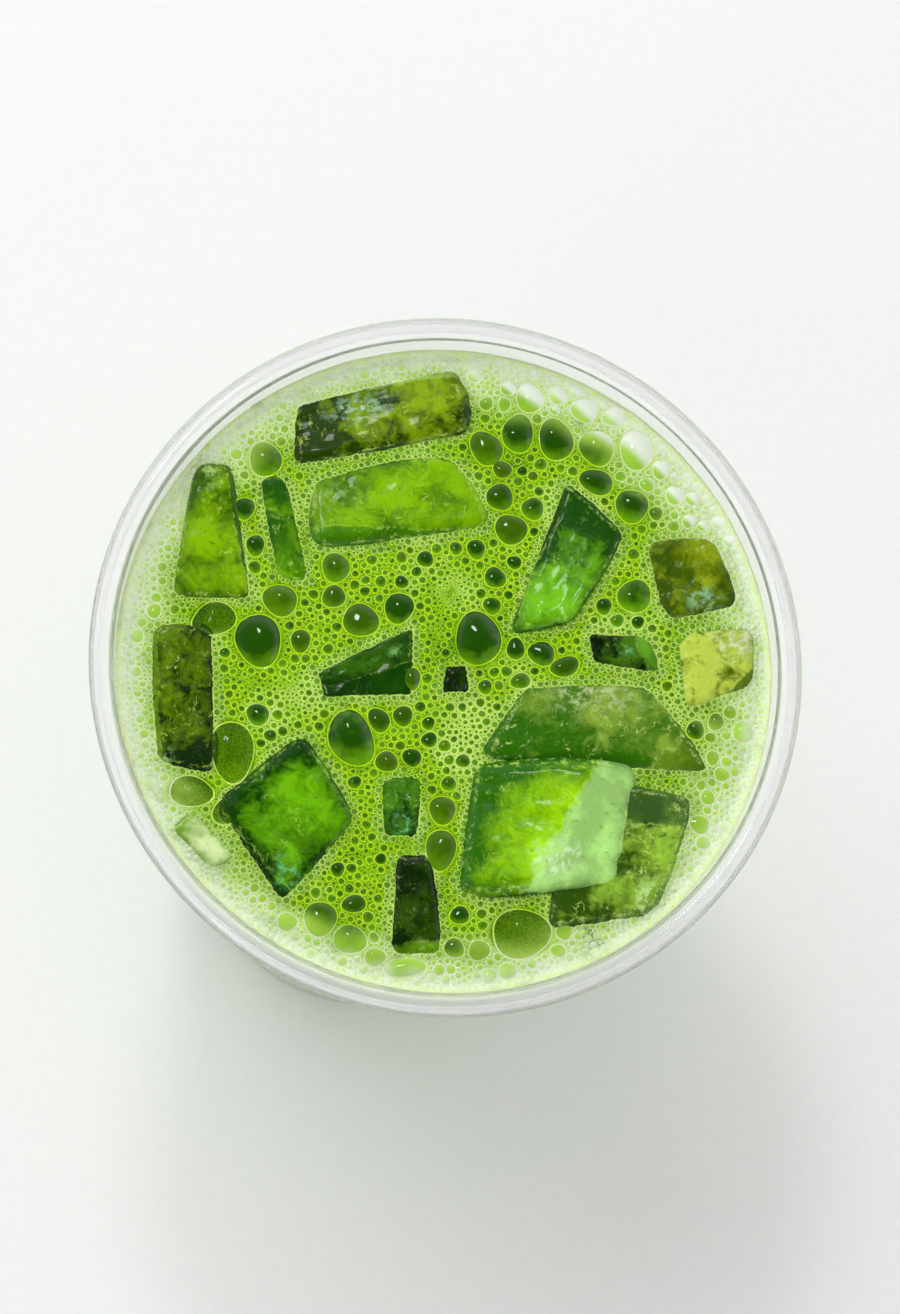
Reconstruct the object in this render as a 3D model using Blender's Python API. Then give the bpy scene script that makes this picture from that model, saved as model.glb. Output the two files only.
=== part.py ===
"""Iced matcha latte: a clear tumbler of green milky tea with a bubbly head and blocks of ice.

Units are metres, +Z is up, and the origin is the middle of the ring that the tumbler stands on.
+X and +Y lie along the drink's surface.
"""

import math
from typing import NamedTuple

import bmesh
import bpy
import numpy as np
from mathutils import Matrix

MM = 0.001

# Tumbler: half a litre, thin clear wall, rolled lip, a pushed-up base inside a standing ring.
RIM_RADIUS = 49.0 * MM
CUP_HEIGHT = 120.0 * MM
WALL = 0.6 * MM
LIP_RADIUS = 1.7 * MM
FLOOR_RADIUS = 30.4 * MM
FLOOR_Z = 6.0 * MM
FOOT_INNER = 27.6 * MM
FOOT_OUTER = 29.7 * MM
FOOT_ROUNDING = 0.8 * MM
PUNT_HEIGHT = 3.2 * MM
PUNT_SLOPE = 2.0 * MM
ROUND_SEGMENTS = 52
LIP_STEPS = 6

# Contents: the drink, its head of foam, and the fitting gap that keeps the pieces apart.
LEVEL_Z = 114.5 * MM
FOAM_DEPTH = 5.2 * MM
MENISCUS_RISE = 0.9 * MM
MENISCUS_WIDTH = 1.3 * MM
GAP = 0.3 * MM
WALL_ROOM = 1.3 * MM


class Block(NamedTuple):
    """A melted block of ice, in mm.

    Its four upright edges are given where the foam meets it, as x and y: the two at its tail are
    the first and the last. tilt is how far the top climbs towards its head and to its left.
    """

    edges: tuple
    depth: float = 12.0
    rise: float = 0.7
    rounding: float = 1.9
    tilt: tuple = (0.0, 0.0)
    bulge: float = 0.05
    crest: float = 0.0
    cuts: int = 2


ICE = {
    "ice_top": Block(((-20.5, 28.6), (3.6, 33.8), (1.8, 42.7), (-21.1, 37.4)), depth=15, tilt=(0.3, -0.3)),
    "ice_upper": Block(
        ((-17.6, 16.8), (7.0, 20.0), (1.0, 31.3), (-18.7, 26.7)),
        depth=14, rise=0.9, rounding=2.4, tilt=(-0.2, -0.4), bulge=0.12, cuts=3,
    ),
    "ice_upper_side": Block(((-18.5, 12.0), (-21.6, 26.2), (-25.7, 27.0), (-23.0, 12.4)), depth=10, rise=0.5),
    "ice_left_high": Block(
        ((-26.2, 8.9), (-29.2, 28.0), (-34.4, 28.0), (-37.4, 9.6)), depth=13, tilt=(0.2, 0.3), bulge=0.02
    ),
    "ice_left_low": Block(((-31.6, -15.0), (-31.7, 5.5), (-40.4, 5.7), (-40.0, -14.0)), depth=13, bulge=0.08),
    "ice_lower_left": Block(
        ((-32.0, -19.2), (-22.8, -33.6), (-11.9, -21.4), (-19.8, -9.2)),
        rise=0.9, rounding=2.4, tilt=(-0.3, 0.3), bulge=0.02, cuts=3,
    ),
    "ice_wall_left": Block(
        ((-37.6, -22.8), (-32.3, -28.2), (-28.9, -26.4), (-34.9, -20.4)), depth=8, rise=0.9, rounding=1.2
    ),
    "ice_wedge": Block(
        ((-17.0, -4.4), (-4.2, -4.4), (-4.0, 6.2), (-18.4, -0.8)), depth=11, rise=0.5, rounding=1.1, bulge=0.0
    ),
    "ice_chip": Block(((-0.6, -3.8), (3.5, -3.5), (3.1, 0.6), (-0.3, 0.4)), depth=7, rise=0.3, rounding=0.9),
    "ice_kite": Block(
        ((9.0, 5.0), (17.4, 6.6), (25.6, 19.3), (16.9, 27.3)),
        depth=14, rise=0.9, rounding=1.7, tilt=(0.3, -0.5), bulge=0.02, cuts=3,
    ),
    "ice_right_high": Block(
        ((30.6, 7.2), (41.4, 9.0), (37.9, 18.9), (27.9, 18.5)), rise=0.8, rounding=2.2, bulge=0.08
    ),
    "ice_right_wall": Block(((33.2, -6.3), (42.9, -2.0), (43.2, 6.2), (32.0, 5.2)), depth=11, rise=1.1, tilt=(0.2, 0.2)),
    "ice_small_dark": Block(((20.6, 0.9), (29.8, -0.4), (28.2, 4.7), (20.0, 5.1)), depth=8, rise=0.4, rounding=1.4),
    "ice_big_back": Block(
        ((5.0, -12.4), (37.0, -14.6), (27.8, -1.6), (10.6, -2.4)),
        rounding=2.4, tilt=(-0.2, -0.3), bulge=0.06, cuts=3,
    ),
    "ice_big": Block(
        ((1.2, -32.2), (23.6, -30.6), (27.2, -13.2), (3.2, -12.8)),
        depth=14, rise=1.2, rounding=3.0, bulge=0.03, crest=2.4, cuts=3,
    ),
    "ice_lower_right": Block(
        ((13.6, -36.2), (28.2, -33.8), (34.2, -17.8), (17.0, -16.0)), depth=16, rise=0.9, rounding=2.2
    ),
    "ice_bottom": Block(((-8.2, -39.8), (-0.5, -40.0), (-2.2, -26.5), (-6.9, -26.1)), tilt=(0.0, 0.2)),
    "ice_sunken": Block(((-8.8, -23.9), (-3.6, -24.0), (-3.1, -15.2), (-9.4, -15.4)), depth=9, rise=0.4),
}
# These rest under the big block, which is cut out of them.
UNDERNEATH, ON_TOP = ("ice_lower_right", "ice_big_back"), "ice_big"
FOOT_SHRINK = 0.14
MELT = 0.025
# A crest is a slanting ridge over the top: how far along it lies, and how much further at its left.
CREST_AT, CREST_SLANT = 0.12, 0.34

# The widest bubbles of the head, as x, y, half width and half length in mm.
WIDE_BUBBLES = (
    (-24.7, 29.3, 2.3, 2.4), (-22.7, 9.3, 2.4, 2.2), (-15.2, 14.0, 2.1, 2.2), (-15.2, 9.8, 1.7, 1.5),
    (-11.6, 6.6, 2.4, 2.4), (-6.3, 8.4, 2.0, 2.2), (-25.7, 3.5, 3.0, 3.6), (-31.4, 6.4, 2.6, 1.8),
    (6.0, 31.4, 2.2, 2.4), (10.6, 33.6, 2.2, 3.0), (15.8, 32.6, 2.5, 3.1), (21.6, 31.7, 2.4, 2.5),
    (27.2, 31.2, 2.3, 2.6), (12.5, 39.0, 1.9, 1.9), (20.0, 37.1, 1.8, 1.7), (21.5, 26.8, 2.4, 1.8),
    (26.5, 23.4, 2.2, 2.4), (7.9, 24.6, 1.8, 2.1), (9.4, 19.6, 2.2, 2.2), (4.5, 4.2, 3.2, 3.5),
    (26.6, 10.3, 2.0, 2.3), (13.5, 2.1, 2.0, 1.7), (-12.9, -10.0, 3.1, 3.8), (-29.2, -11.4, 2.4, 3.4),
    (-35.1, -17.6, 2.4, 1.7), (-17.3, -35.4, 2.2, 2.1), (-12.4, -38.0, 2.1, 2.0), (-0.8, -25.6, 1.9, 2.8),
    (10.2, -36.9, 4.0, 2.9), (-0.8, -19.8, 1.7, 1.9), (34.6, -9.2, 1.5, 1.5), (4.3, -39.2, 1.5, 1.5),
)
BUBBLE_HEIGHT = 0.36
BUBBLE_SINK = 0.12
BUBBLE_SIDES = 8
BUBBLE_BANDS = 4
# Smaller bubbles fill the room between, the larger radius first.
FILL_BUBBLES = ((1.3 * MM, 9), (1.0 * MM, 3))
FILL_TRIES = 700
SEED = 11


def inner_radius(z):
    """The tumbler's inner wall is a straight cone from the floor to the lip."""
    top_radius, top_z = RIM_RADIUS - 2 * LIP_RADIUS, CUP_HEIGHT - LIP_RADIUS
    return FLOOR_RADIUS + (top_radius - FLOOR_RADIUS) * (z - FLOOR_Z) / (top_z - FLOOR_Z)


def arc(centre_r, centre_z, radius, start, end, steps):
    """Points on a circle in the profile's plane, both ends included, angles in degrees."""
    angles = np.radians(np.linspace(start, end, steps + 1))
    return [(centre_r + radius * math.cos(a), centre_z + radius * math.sin(a)) for a in angles]


def finish_mesh(bm, name, colour, roughness, alpha=1.0, transmission=0.0):
    """Turns a bmesh into a smooth-shaded object with its own material."""
    bmesh.ops.recalc_face_normals(bm, faces=bm.faces)
    mesh = bpy.data.meshes.new(name)
    bm.to_mesh(mesh)
    bm.free()
    mesh.shade_smooth()
    mesh.set_sharp_from_angle(angle=math.radians(35))
    material = bpy.data.materials.new(name)
    material.use_nodes = True
    shader = material.node_tree.nodes["Principled BSDF"]
    shader.inputs["Base Color"].default_value = (*colour, 1.0)
    shader.inputs["Roughness"].default_value = roughness
    shader.inputs["Metallic"].default_value = 0.0
    shader.inputs["Alpha"].default_value = alpha
    shader.inputs["Transmission Weight"].default_value = transmission
    mesh.materials.append(material)
    made = bpy.data.objects.new(name, mesh)
    bpy.context.scene.collection.objects.link(made)
    return made


def turned(profile):
    """A profile of (radius, height) points spun once round Z. It is closed, or starts and ends on Z."""
    bm = bmesh.new()
    corners = [bm.verts.new((r, 0.0, z)) for r, z in profile]
    edges = [bm.edges.new(pair) for pair in zip(corners, corners[1:])]
    bmesh.ops.spin(
        bm, geom=corners + edges, cent=(0, 0, 0), axis=(0, 0, 1), angle=math.tau,
        steps=ROUND_SEGMENTS, use_merge=True,
    )
    bmesh.ops.remove_doubles(bm, verts=bm.verts, dist=0.001 * MM)
    return bm


def cup_profile():
    """From the punt's middle out and up the outside, round the open rolled lip, down the inside."""
    lip_r, lip_z = RIM_RADIUS - LIP_RADIUS, CUP_HEIGHT - LIP_RADIUS
    foot_top = FLOOR_Z / 2
    outside = [
        (0.0, PUNT_HEIGHT),
        (FOOT_INNER - PUNT_SLOPE, PUNT_HEIGHT),
        (FOOT_INNER - FOOT_ROUNDING / 2, FOOT_ROUNDING),
        (FOOT_INNER, 0.0),
        (FOOT_OUTER, 0.0),
        (FOOT_OUTER + FOOT_ROUNDING, FOOT_ROUNDING),
        (inner_radius(foot_top) + WALL, foot_top),
    ]
    hollow = arc(lip_r, lip_z, LIP_RADIUS - WALL, 180, -90, LIP_STEPS)
    roll = arc(lip_r, lip_z, LIP_RADIUS, -90, 180, LIP_STEPS)
    inside = [
        (inner_radius(foot_top), foot_top),
        (FOOT_OUTER - WALL / 4, WALL + FOOT_ROUNDING),
        (FOOT_OUTER - FOOT_ROUNDING, WALL),
        (FOOT_INNER + FOOT_ROUNDING / 2, WALL),
        (FOOT_INNER - PUNT_SLOPE + WALL / 2, PUNT_HEIGHT + WALL),
        (0.0, PUNT_HEIGHT + WALL),
    ]
    return outside + hollow + roll + inside


def drink_profile():
    """The drink fills the tumbler, foot ring included, up to the foam."""
    top = LEVEL_Z - FOAM_DEPTH - GAP
    foot_top = FLOOR_Z / 2
    floor = WALL + GAP
    return [
        (0.0, PUNT_HEIGHT + floor),
        (FOOT_INNER - PUNT_SLOPE + 2 * WALL / 3, PUNT_HEIGHT + floor),
        (FOOT_INNER + FOOT_ROUNDING, floor),
        (FOOT_OUTER - FOOT_ROUNDING - GAP / 2, floor),
        (inner_radius(foot_top) - GAP, foot_top),
        (inner_radius(top) - GAP, top),
        (0.0, top),
    ]


def foam_profile():
    """A slab of foam whose edge climbs the wall in a short curve."""
    bottom = LEVEL_Z - FOAM_DEPTH
    edge = inner_radius(LEVEL_Z + MENISCUS_RISE) - GAP
    return [
        (0.0, bottom),
        (inner_radius(bottom) - GAP, bottom),
        (edge, LEVEL_Z + MENISCUS_RISE),
        (edge - 0.45 * MENISCUS_WIDTH, LEVEL_Z + 0.3 * MENISCUS_RISE),
        (edge - MENISCUS_WIDTH, LEVEL_Z),
        (0.0, LEVEL_Z),
    ]


def melted(unit, block, phase):
    """Carries points of the cube from -1 to 1 onto the block, in place.

    The middle of each side stays flat and the rest bends round at the rounding's radius. Slow
    waves dent the whole, the foot shrinks, the sides bulge and the top tilts and rises to its
    crest. Then the plan is drawn out to the block's four edges.
    """
    edges = np.array(block.edges) * MM
    ahead = (edges[1] + edges[2] - edges[0] - edges[3]) / 4
    aside = (edges[2] + edges[3] - edges[0] - edges[1]) / 4
    twist = (edges[0] + edges[2] - edges[1] - edges[3]) / 4
    rounding = block.rounding * MM
    hidden = rounding - math.sqrt(rounding**2 - max(0.0, rounding - block.rise * MM) ** 2)
    shown = np.array((np.hypot(*ahead), np.hypot(*aside), block.depth * MM / 2))
    half = shown + (hidden, hidden, 0)
    flat = (block.cuts - 1) / (block.cuts + 1)
    inside = np.minimum(np.abs(unit) / flat, 1.0) * (half - rounding)
    bend = np.maximum(np.abs(unit) - flat, 0.0) / (1 - flat)
    reach = np.linalg.norm(bend, axis=1, keepdims=True)
    point = np.sign(unit) * (inside + rounding * bend / np.where(reach > 0, reach, 1.0))
    along, across, up = (point / half).T
    dent = np.sin(2.3 * along + phase) * np.cos(1.9 * across - phase) + np.sin(2.7 * up + 2 * phase)
    point *= (1 + MELT * dent)[:, None]
    climb = block.tilt[0] * along + block.tilt[1] * across
    crest_at = CREST_AT + CREST_SLANT * across
    climb += block.crest * (1 - np.abs(along - crest_at) / (1 + crest_at * np.sign(crest_at - along)))
    shrink = 1 - FOOT_SHRINK * 0.5 * (1 - up)
    u = point[:, :1] / shown[0] * (shrink * (1 + block.bulge * (1 - across**2)))[:, None]
    v = point[:, 1:2] / shown[1] * (shrink * (1 + block.bulge * (1 - along**2)))[:, None]
    plan = edges.mean(axis=0) + u * ahead + v * aside + u * v * twist
    height = LEVEL_Z + (block.rise - block.depth / 2) * MM + point[:, 2] + climb * MM * (1 + up) / 2
    return np.column_stack([plan, height])


def ice_block(name, grow=0.0):
    """One block in its place, clear of the wall, as a bmesh. grow moves every face out by that much."""
    block = ICE[name]
    bm = bmesh.new()
    bmesh.ops.create_cube(bm, size=2.0)
    bmesh.ops.subdivide_edges(bm, edges=bm.edges, cuts=block.cuts, use_grid_fill=True)
    points = melted(np.array([vertex.co for vertex in bm.verts]), block, list(ICE).index(name))
    outward = np.hypot(points[:, 0], points[:, 1])
    allowed = inner_radius(points[:, 2]) - WALL_ROOM
    points[:, :2] *= np.minimum(1.0, allowed / outward)[:, None]
    for vertex, place in zip(bm.verts, points):
        vertex.co = place
    bmesh.ops.triangulate(bm, faces=bm.faces)
    bm.normal_update()
    for vertex, way in [(vertex, vertex.normal.copy()) for vertex in bm.verts]:
        vertex.co += way * grow
    return bm


def bubble(x, y, half_width, half_length):
    """A low dome, sunk so far that its middle lies just under the foam's surface."""
    bm = bmesh.new()
    bmesh.ops.create_uvsphere(bm, u_segments=BUBBLE_SIDES, v_segments=BUBBLE_BANDS, radius=1.0)
    height = BUBBLE_HEIGHT * math.sqrt(half_width * half_length)
    bm.transform(
        Matrix.Translation((x, y, LEVEL_Z - BUBBLE_SINK * height))
        @ Matrix.Diagonal((half_width, half_length, height, 1.0))
    )
    return bm


def reach_of(name):
    """A block's middle in plan, 32 directions, and how far the block reaches in each."""
    bm = ice_block(name)
    points = np.array([vertex.co.xy for vertex in bm.verts])
    bm.free()
    centre = points.mean(axis=0)
    angles = np.linspace(0, math.tau, 32, endpoint=False)
    ways = np.stack([np.cos(angles), np.sin(angles)], axis=1)
    return centre, ways, ((points - centre) @ ways.T).max(axis=0)


def room_for(spot, radius, blocks, bubbles):
    """True if a bubble there is clear of the wall, the ice and the bubbles so far."""
    if np.hypot(*spot) + radius > inner_radius(LEVEL_Z) - MENISCUS_WIDTH - 2 * GAP:
        return False
    for centre, ways, reach in blocks:
        if ((spot - centre) @ ways.T - reach).max() < radius + GAP:
            return False
    return all(math.dist(spot, place[:2]) > radius + max(place[2:]) + GAP for place in bubbles)


def bubble_places():
    """The wide bubbles, then smaller ones dropped at random wherever there is room."""
    blocks = [reach_of(name) for name in ICE]
    places = [tuple(value * MM for value in row) for row in WIDE_BUBBLES]
    draw = np.random.default_rng(SEED)
    span = inner_radius(LEVEL_Z)
    for radius, count in FILL_BUBBLES:
        full = len(places) + count
        for spot in draw.uniform(-span, span, (FILL_TRIES, 2)):
            if len(places) < full and room_for(spot, radius, blocks, places):
                places.append((*spot, radius, radius))
    return places


def helper(bm, name, group):
    """A shape used only to join or cut: hidden from renders and kept in its own collection."""
    mesh = bpy.data.meshes.new(name)
    bmesh.ops.recalc_face_normals(bm, faces=bm.faces)
    bm.to_mesh(mesh)
    bm.free()
    made = bpy.data.objects.new(name, mesh)
    made.hide_render = True
    made.display_type = "WIRE"
    group.objects.link(made)
    return made


def combine(target, group, operation):
    """Joins or cuts the whole collection in one Boolean, applies it and removes the helpers."""
    modifier = target.modifiers.new(operation.lower(), "BOOLEAN")
    modifier.operation = operation
    modifier.operand_type = "COLLECTION"
    modifier.collection = group
    modifier.solver = "MANIFOLD"
    graph = bpy.context.evaluated_depsgraph_get()
    made = bpy.data.meshes.new_from_object(target.evaluated_get(graph))
    target.modifiers.clear()
    old, target.data = target.data, made
    bpy.data.meshes.remove(old)
    for used in list(group.objects):
        bpy.data.objects.remove(used)
    bpy.data.collections.remove(group)


def new_group(name):
    """An empty collection of the scene, to hold one Boolean's helpers."""
    group = bpy.data.collections.new(name)
    bpy.context.scene.collection.children.link(group)
    return group


def cut_round_ice(target, names):
    """Leaves the fitting gap round each of the named blocks."""
    group = new_group("room_for_ice")
    for name in names:
        helper(ice_block(name, grow=GAP), "room_" + name, group)
    combine(target, group, "DIFFERENCE")


def build_cup():
    profile = cup_profile()
    finish_mesh(turned(profile), "cup", (0.95, 0.97, 0.96), 0.05, alpha=0.35)


def build_drink():
    drink = finish_mesh(turned(drink_profile()), "drink", (0.30, 0.55, 0.06), 0.3)
    cut_round_ice(drink, ICE)


def build_ice():
    for name in ICE:
        finish_mesh(ice_block(name), name, (0.16, 0.38, 0.03), 0.12, transmission=0.6)
    for name in UNDERNEATH:
        cut_round_ice(bpy.data.objects[name], [ON_TOP])


def build_foam():
    foam = finish_mesh(turned(foam_profile()), "foam", (0.42, 0.68, 0.08), 0.35)
    group = new_group("bubbles")
    for number, place in enumerate(bubble_places()):
        helper(bubble(*place), f"bubble_{number}", group)
    combine(foam, group, "UNION")
    cut_round_ice(foam, ICE)


def main():
    for old in list(bpy.data.objects):
        bpy.data.objects.remove(old)
    build_cup()
    build_drink()
    build_ice()
    build_foam()


main()
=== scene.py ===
"""Iced matcha latte, dressed: a clear tumbler of green milky tea under a bubbly head with melting ice.

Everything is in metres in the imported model's own frame: +Z is up and the origin is the middle of
the ring that the tumbler stands on.
"""

import functools
import math
from typing import NamedTuple

import bpy
import numpy as np
from bpy.props import FloatProperty, FloatVectorProperty, IntProperty, PointerProperty
from mathutils import Matrix, Vector
from mathutils.geometry import convex_hull_2d


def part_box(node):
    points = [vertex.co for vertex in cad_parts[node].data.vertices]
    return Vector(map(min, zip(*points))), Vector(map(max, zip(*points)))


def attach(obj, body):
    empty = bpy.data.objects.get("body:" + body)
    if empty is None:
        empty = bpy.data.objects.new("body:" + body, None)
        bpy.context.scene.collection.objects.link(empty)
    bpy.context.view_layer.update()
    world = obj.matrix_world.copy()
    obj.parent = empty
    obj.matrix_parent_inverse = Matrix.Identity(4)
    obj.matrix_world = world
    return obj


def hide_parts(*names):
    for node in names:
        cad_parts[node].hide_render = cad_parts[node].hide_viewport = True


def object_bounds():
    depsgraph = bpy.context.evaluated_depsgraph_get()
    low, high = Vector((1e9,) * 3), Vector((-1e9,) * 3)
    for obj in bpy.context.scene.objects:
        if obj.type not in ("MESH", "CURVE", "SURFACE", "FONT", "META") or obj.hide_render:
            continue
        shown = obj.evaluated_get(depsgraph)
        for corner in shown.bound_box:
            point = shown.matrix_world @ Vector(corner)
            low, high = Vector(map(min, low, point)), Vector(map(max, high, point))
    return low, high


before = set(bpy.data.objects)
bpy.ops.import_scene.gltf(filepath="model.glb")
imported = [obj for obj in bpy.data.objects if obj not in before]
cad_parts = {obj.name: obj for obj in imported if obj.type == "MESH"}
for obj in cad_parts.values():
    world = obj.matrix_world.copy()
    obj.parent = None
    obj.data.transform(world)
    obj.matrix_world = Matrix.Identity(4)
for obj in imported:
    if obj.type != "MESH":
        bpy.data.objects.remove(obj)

bl_info = {
    "name": "Iced Matcha Latte",
    "version": (1, 0, 0),
    "blender": (4, 5, 0),
    "location": "3D View > Sidebar > Matcha",
    "description": "Builds a clear tumbler of iced matcha latte with its foam, bubbles and ice",
    "category": "Add Mesh",
}

MM = 0.001
CAD_LOW, CAD_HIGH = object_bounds()
RIM_RADIUS = (CAD_HIGH.x - CAD_LOW.x) / 2
CUP_HEIGHT = CAD_HIGH.z
TEA_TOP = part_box("drink")[1].z
FOAM_LEVEL = TEA_TOP + 5.5 * MM


class Block(NamedTuple):
    """A melted block of ice, in mm.

    Its four upright edges are given where the foam meets it, as x and y: the two at its tail are
    the first and the last. tilt is how far the top climbs towards its head and to its left.
    """

    edges: tuple
    depth: float = 12.0
    rise: float = 0.7
    rounding: float = 1.9
    tilt: tuple = (0.0, 0.0)
    bulge: float = 0.05
    crest: float = 0.0


# The blocks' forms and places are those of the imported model.
ICE = {
    "ice_top": Block(((-20.5, 28.6), (3.6, 33.8), (1.8, 42.7), (-21.1, 37.4)), depth=15, tilt=(0.3, -0.3)),
    "ice_upper": Block(
        ((-17.6, 16.8), (7.0, 20.0), (1.0, 31.3), (-18.7, 26.7)),
        depth=14, rise=0.9, rounding=2.4, tilt=(-0.2, -0.4), bulge=0.12,
    ),
    "ice_upper_side": Block(
        ((-18.5, 12.0), (-21.6, 26.2), (-25.7, 27.0), (-23.0, 12.4)), depth=10, rise=0.5
    ),
    "ice_left_high": Block(
        ((-26.2, 8.9), (-29.2, 28.0), (-34.4, 28.0), (-37.4, 9.6)), depth=13, tilt=(0.2, 0.3), bulge=0.02
    ),
    "ice_left_low": Block(
        ((-31.6, -15.0), (-31.7, 5.5), (-40.4, 5.7), (-40.0, -14.0)), depth=13, bulge=0.08
    ),
    "ice_lower_left": Block(
        ((-32.0, -19.2), (-22.8, -33.6), (-11.9, -21.4), (-19.8, -9.2)),
        rise=0.9, rounding=2.4, tilt=(-0.3, 0.3), bulge=0.02,
    ),
    "ice_wall_left": Block(
        ((-37.6, -22.8), (-32.3, -28.2), (-28.9, -26.4), (-34.9, -20.4)), depth=8, rise=0.9, rounding=1.2
    ),
    "ice_wedge": Block(
        ((-17.0, -4.4), (-4.2, -4.4), (-4.0, 6.2), (-18.4, -0.8)),
        depth=11, rise=0.5, rounding=1.1, bulge=0.0,
    ),
    "ice_chip": Block(
        ((-0.6, -3.8), (3.5, -3.5), (3.1, 0.6), (-0.3, 0.4)), depth=7, rise=0.3, rounding=0.9
    ),
    "ice_kite": Block(
        ((9.0, 5.0), (17.4, 6.6), (25.6, 19.3), (16.9, 27.3)),
        depth=14, rise=0.9, rounding=1.7, tilt=(0.3, -0.5), bulge=0.02,
    ),
    "ice_right_high": Block(
        ((30.6, 7.2), (41.4, 9.0), (37.9, 18.9), (27.9, 18.5)), rise=0.8, rounding=2.2, bulge=0.08
    ),
    "ice_right_wall": Block(
        ((33.2, -6.3), (42.9, -2.0), (43.2, 6.2), (32.0, 5.2)), depth=11, rise=1.1, tilt=(0.2, 0.2)
    ),
    "ice_small_dark": Block(
        ((20.6, 0.9), (29.8, -0.4), (28.2, 4.7), (20.0, 5.1)), depth=8, rise=0.4, rounding=1.4
    ),
    "ice_big_back": Block(
        ((5.0, -12.4), (37.0, -14.6), (27.8, -1.6), (10.6, -2.4)),
        rounding=2.4, tilt=(-0.2, -0.3), bulge=0.06,
    ),
    "ice_big": Block(
        ((1.2, -32.2), (23.6, -30.6), (27.2, -13.2), (3.2, -12.8)),
        depth=14, rise=1.2, rounding=3.0, bulge=0.03, crest=2.4,
    ),
    "ice_lower_right": Block(
        ((13.6, -36.2), (28.2, -33.8), (34.2, -17.8), (17.0, -16.0)), depth=16, rise=0.9, rounding=2.2
    ),
    "ice_bottom": Block(((-8.2, -39.8), (-0.5, -40.0), (-2.2, -26.5), (-6.9, -26.1)), tilt=(0.0, 0.2)),
    "ice_sunken": Block(((-8.8, -23.9), (-3.6, -24.0), (-3.1, -15.2), (-9.4, -15.4)), depth=9, rise=0.4),
}
# How much smaller a block's foot is than its top, and how deep its slow waves are, as shares of it.
FOOT_SHRINK = 0.14
MELT = 0.025
# A crest is a slanting ridge over the top: how far along it lies, and how much further at its left.
CREST_AT, CREST_SLANT = 0.12, 0.34
# Faces along each side of a block's cube, and the flat share of a side. The rest bends round.
ICE_GRID = 34
ICE_FLAT = 0.55
# Ice stays this far off the wall, and its outline is taken at this height from the foam's level.
ICE_WALL_GAP = 1.1 * MM
ICE_SHOWS_FROM = -0.05 * MM


class Paint(NamedTuple):
    """How one block looks: sRGB greens, how they brighten across it, its frost and its other face.

    Places and ways are along the block and across it, from -1 to 1. The other face starts where
    face's first two numbers, taken as a way, reach its third. core is how much brighter the middle
    is than the edges, marble how strong the slow clouds inside are.
    """

    deep: tuple
    lit: tuple
    way: tuple = (0.0, 0.0)
    shift: float = 0.0
    frost: tuple = (190, 225, 165)
    frost_at: tuple = (0.0, 0.0)
    frost_reach: float = 0.0
    face: tuple = (1.0, 0.0, 3.0)
    face_tint: tuple = (0, 0, 0)
    specks: float = 0.4
    streaks: float = 0.3
    rime: float = 0.2
    core: float = 0.4
    marble: float = 1.0


# The colour of the painted glints: what the small bright marks in the ice lean to, and how far from the
# block's lit green. The marks are partly in the ice and partly painted highlight.
GLINT = (236, 252, 160)
GLINT_LEAN = 0.55

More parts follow.
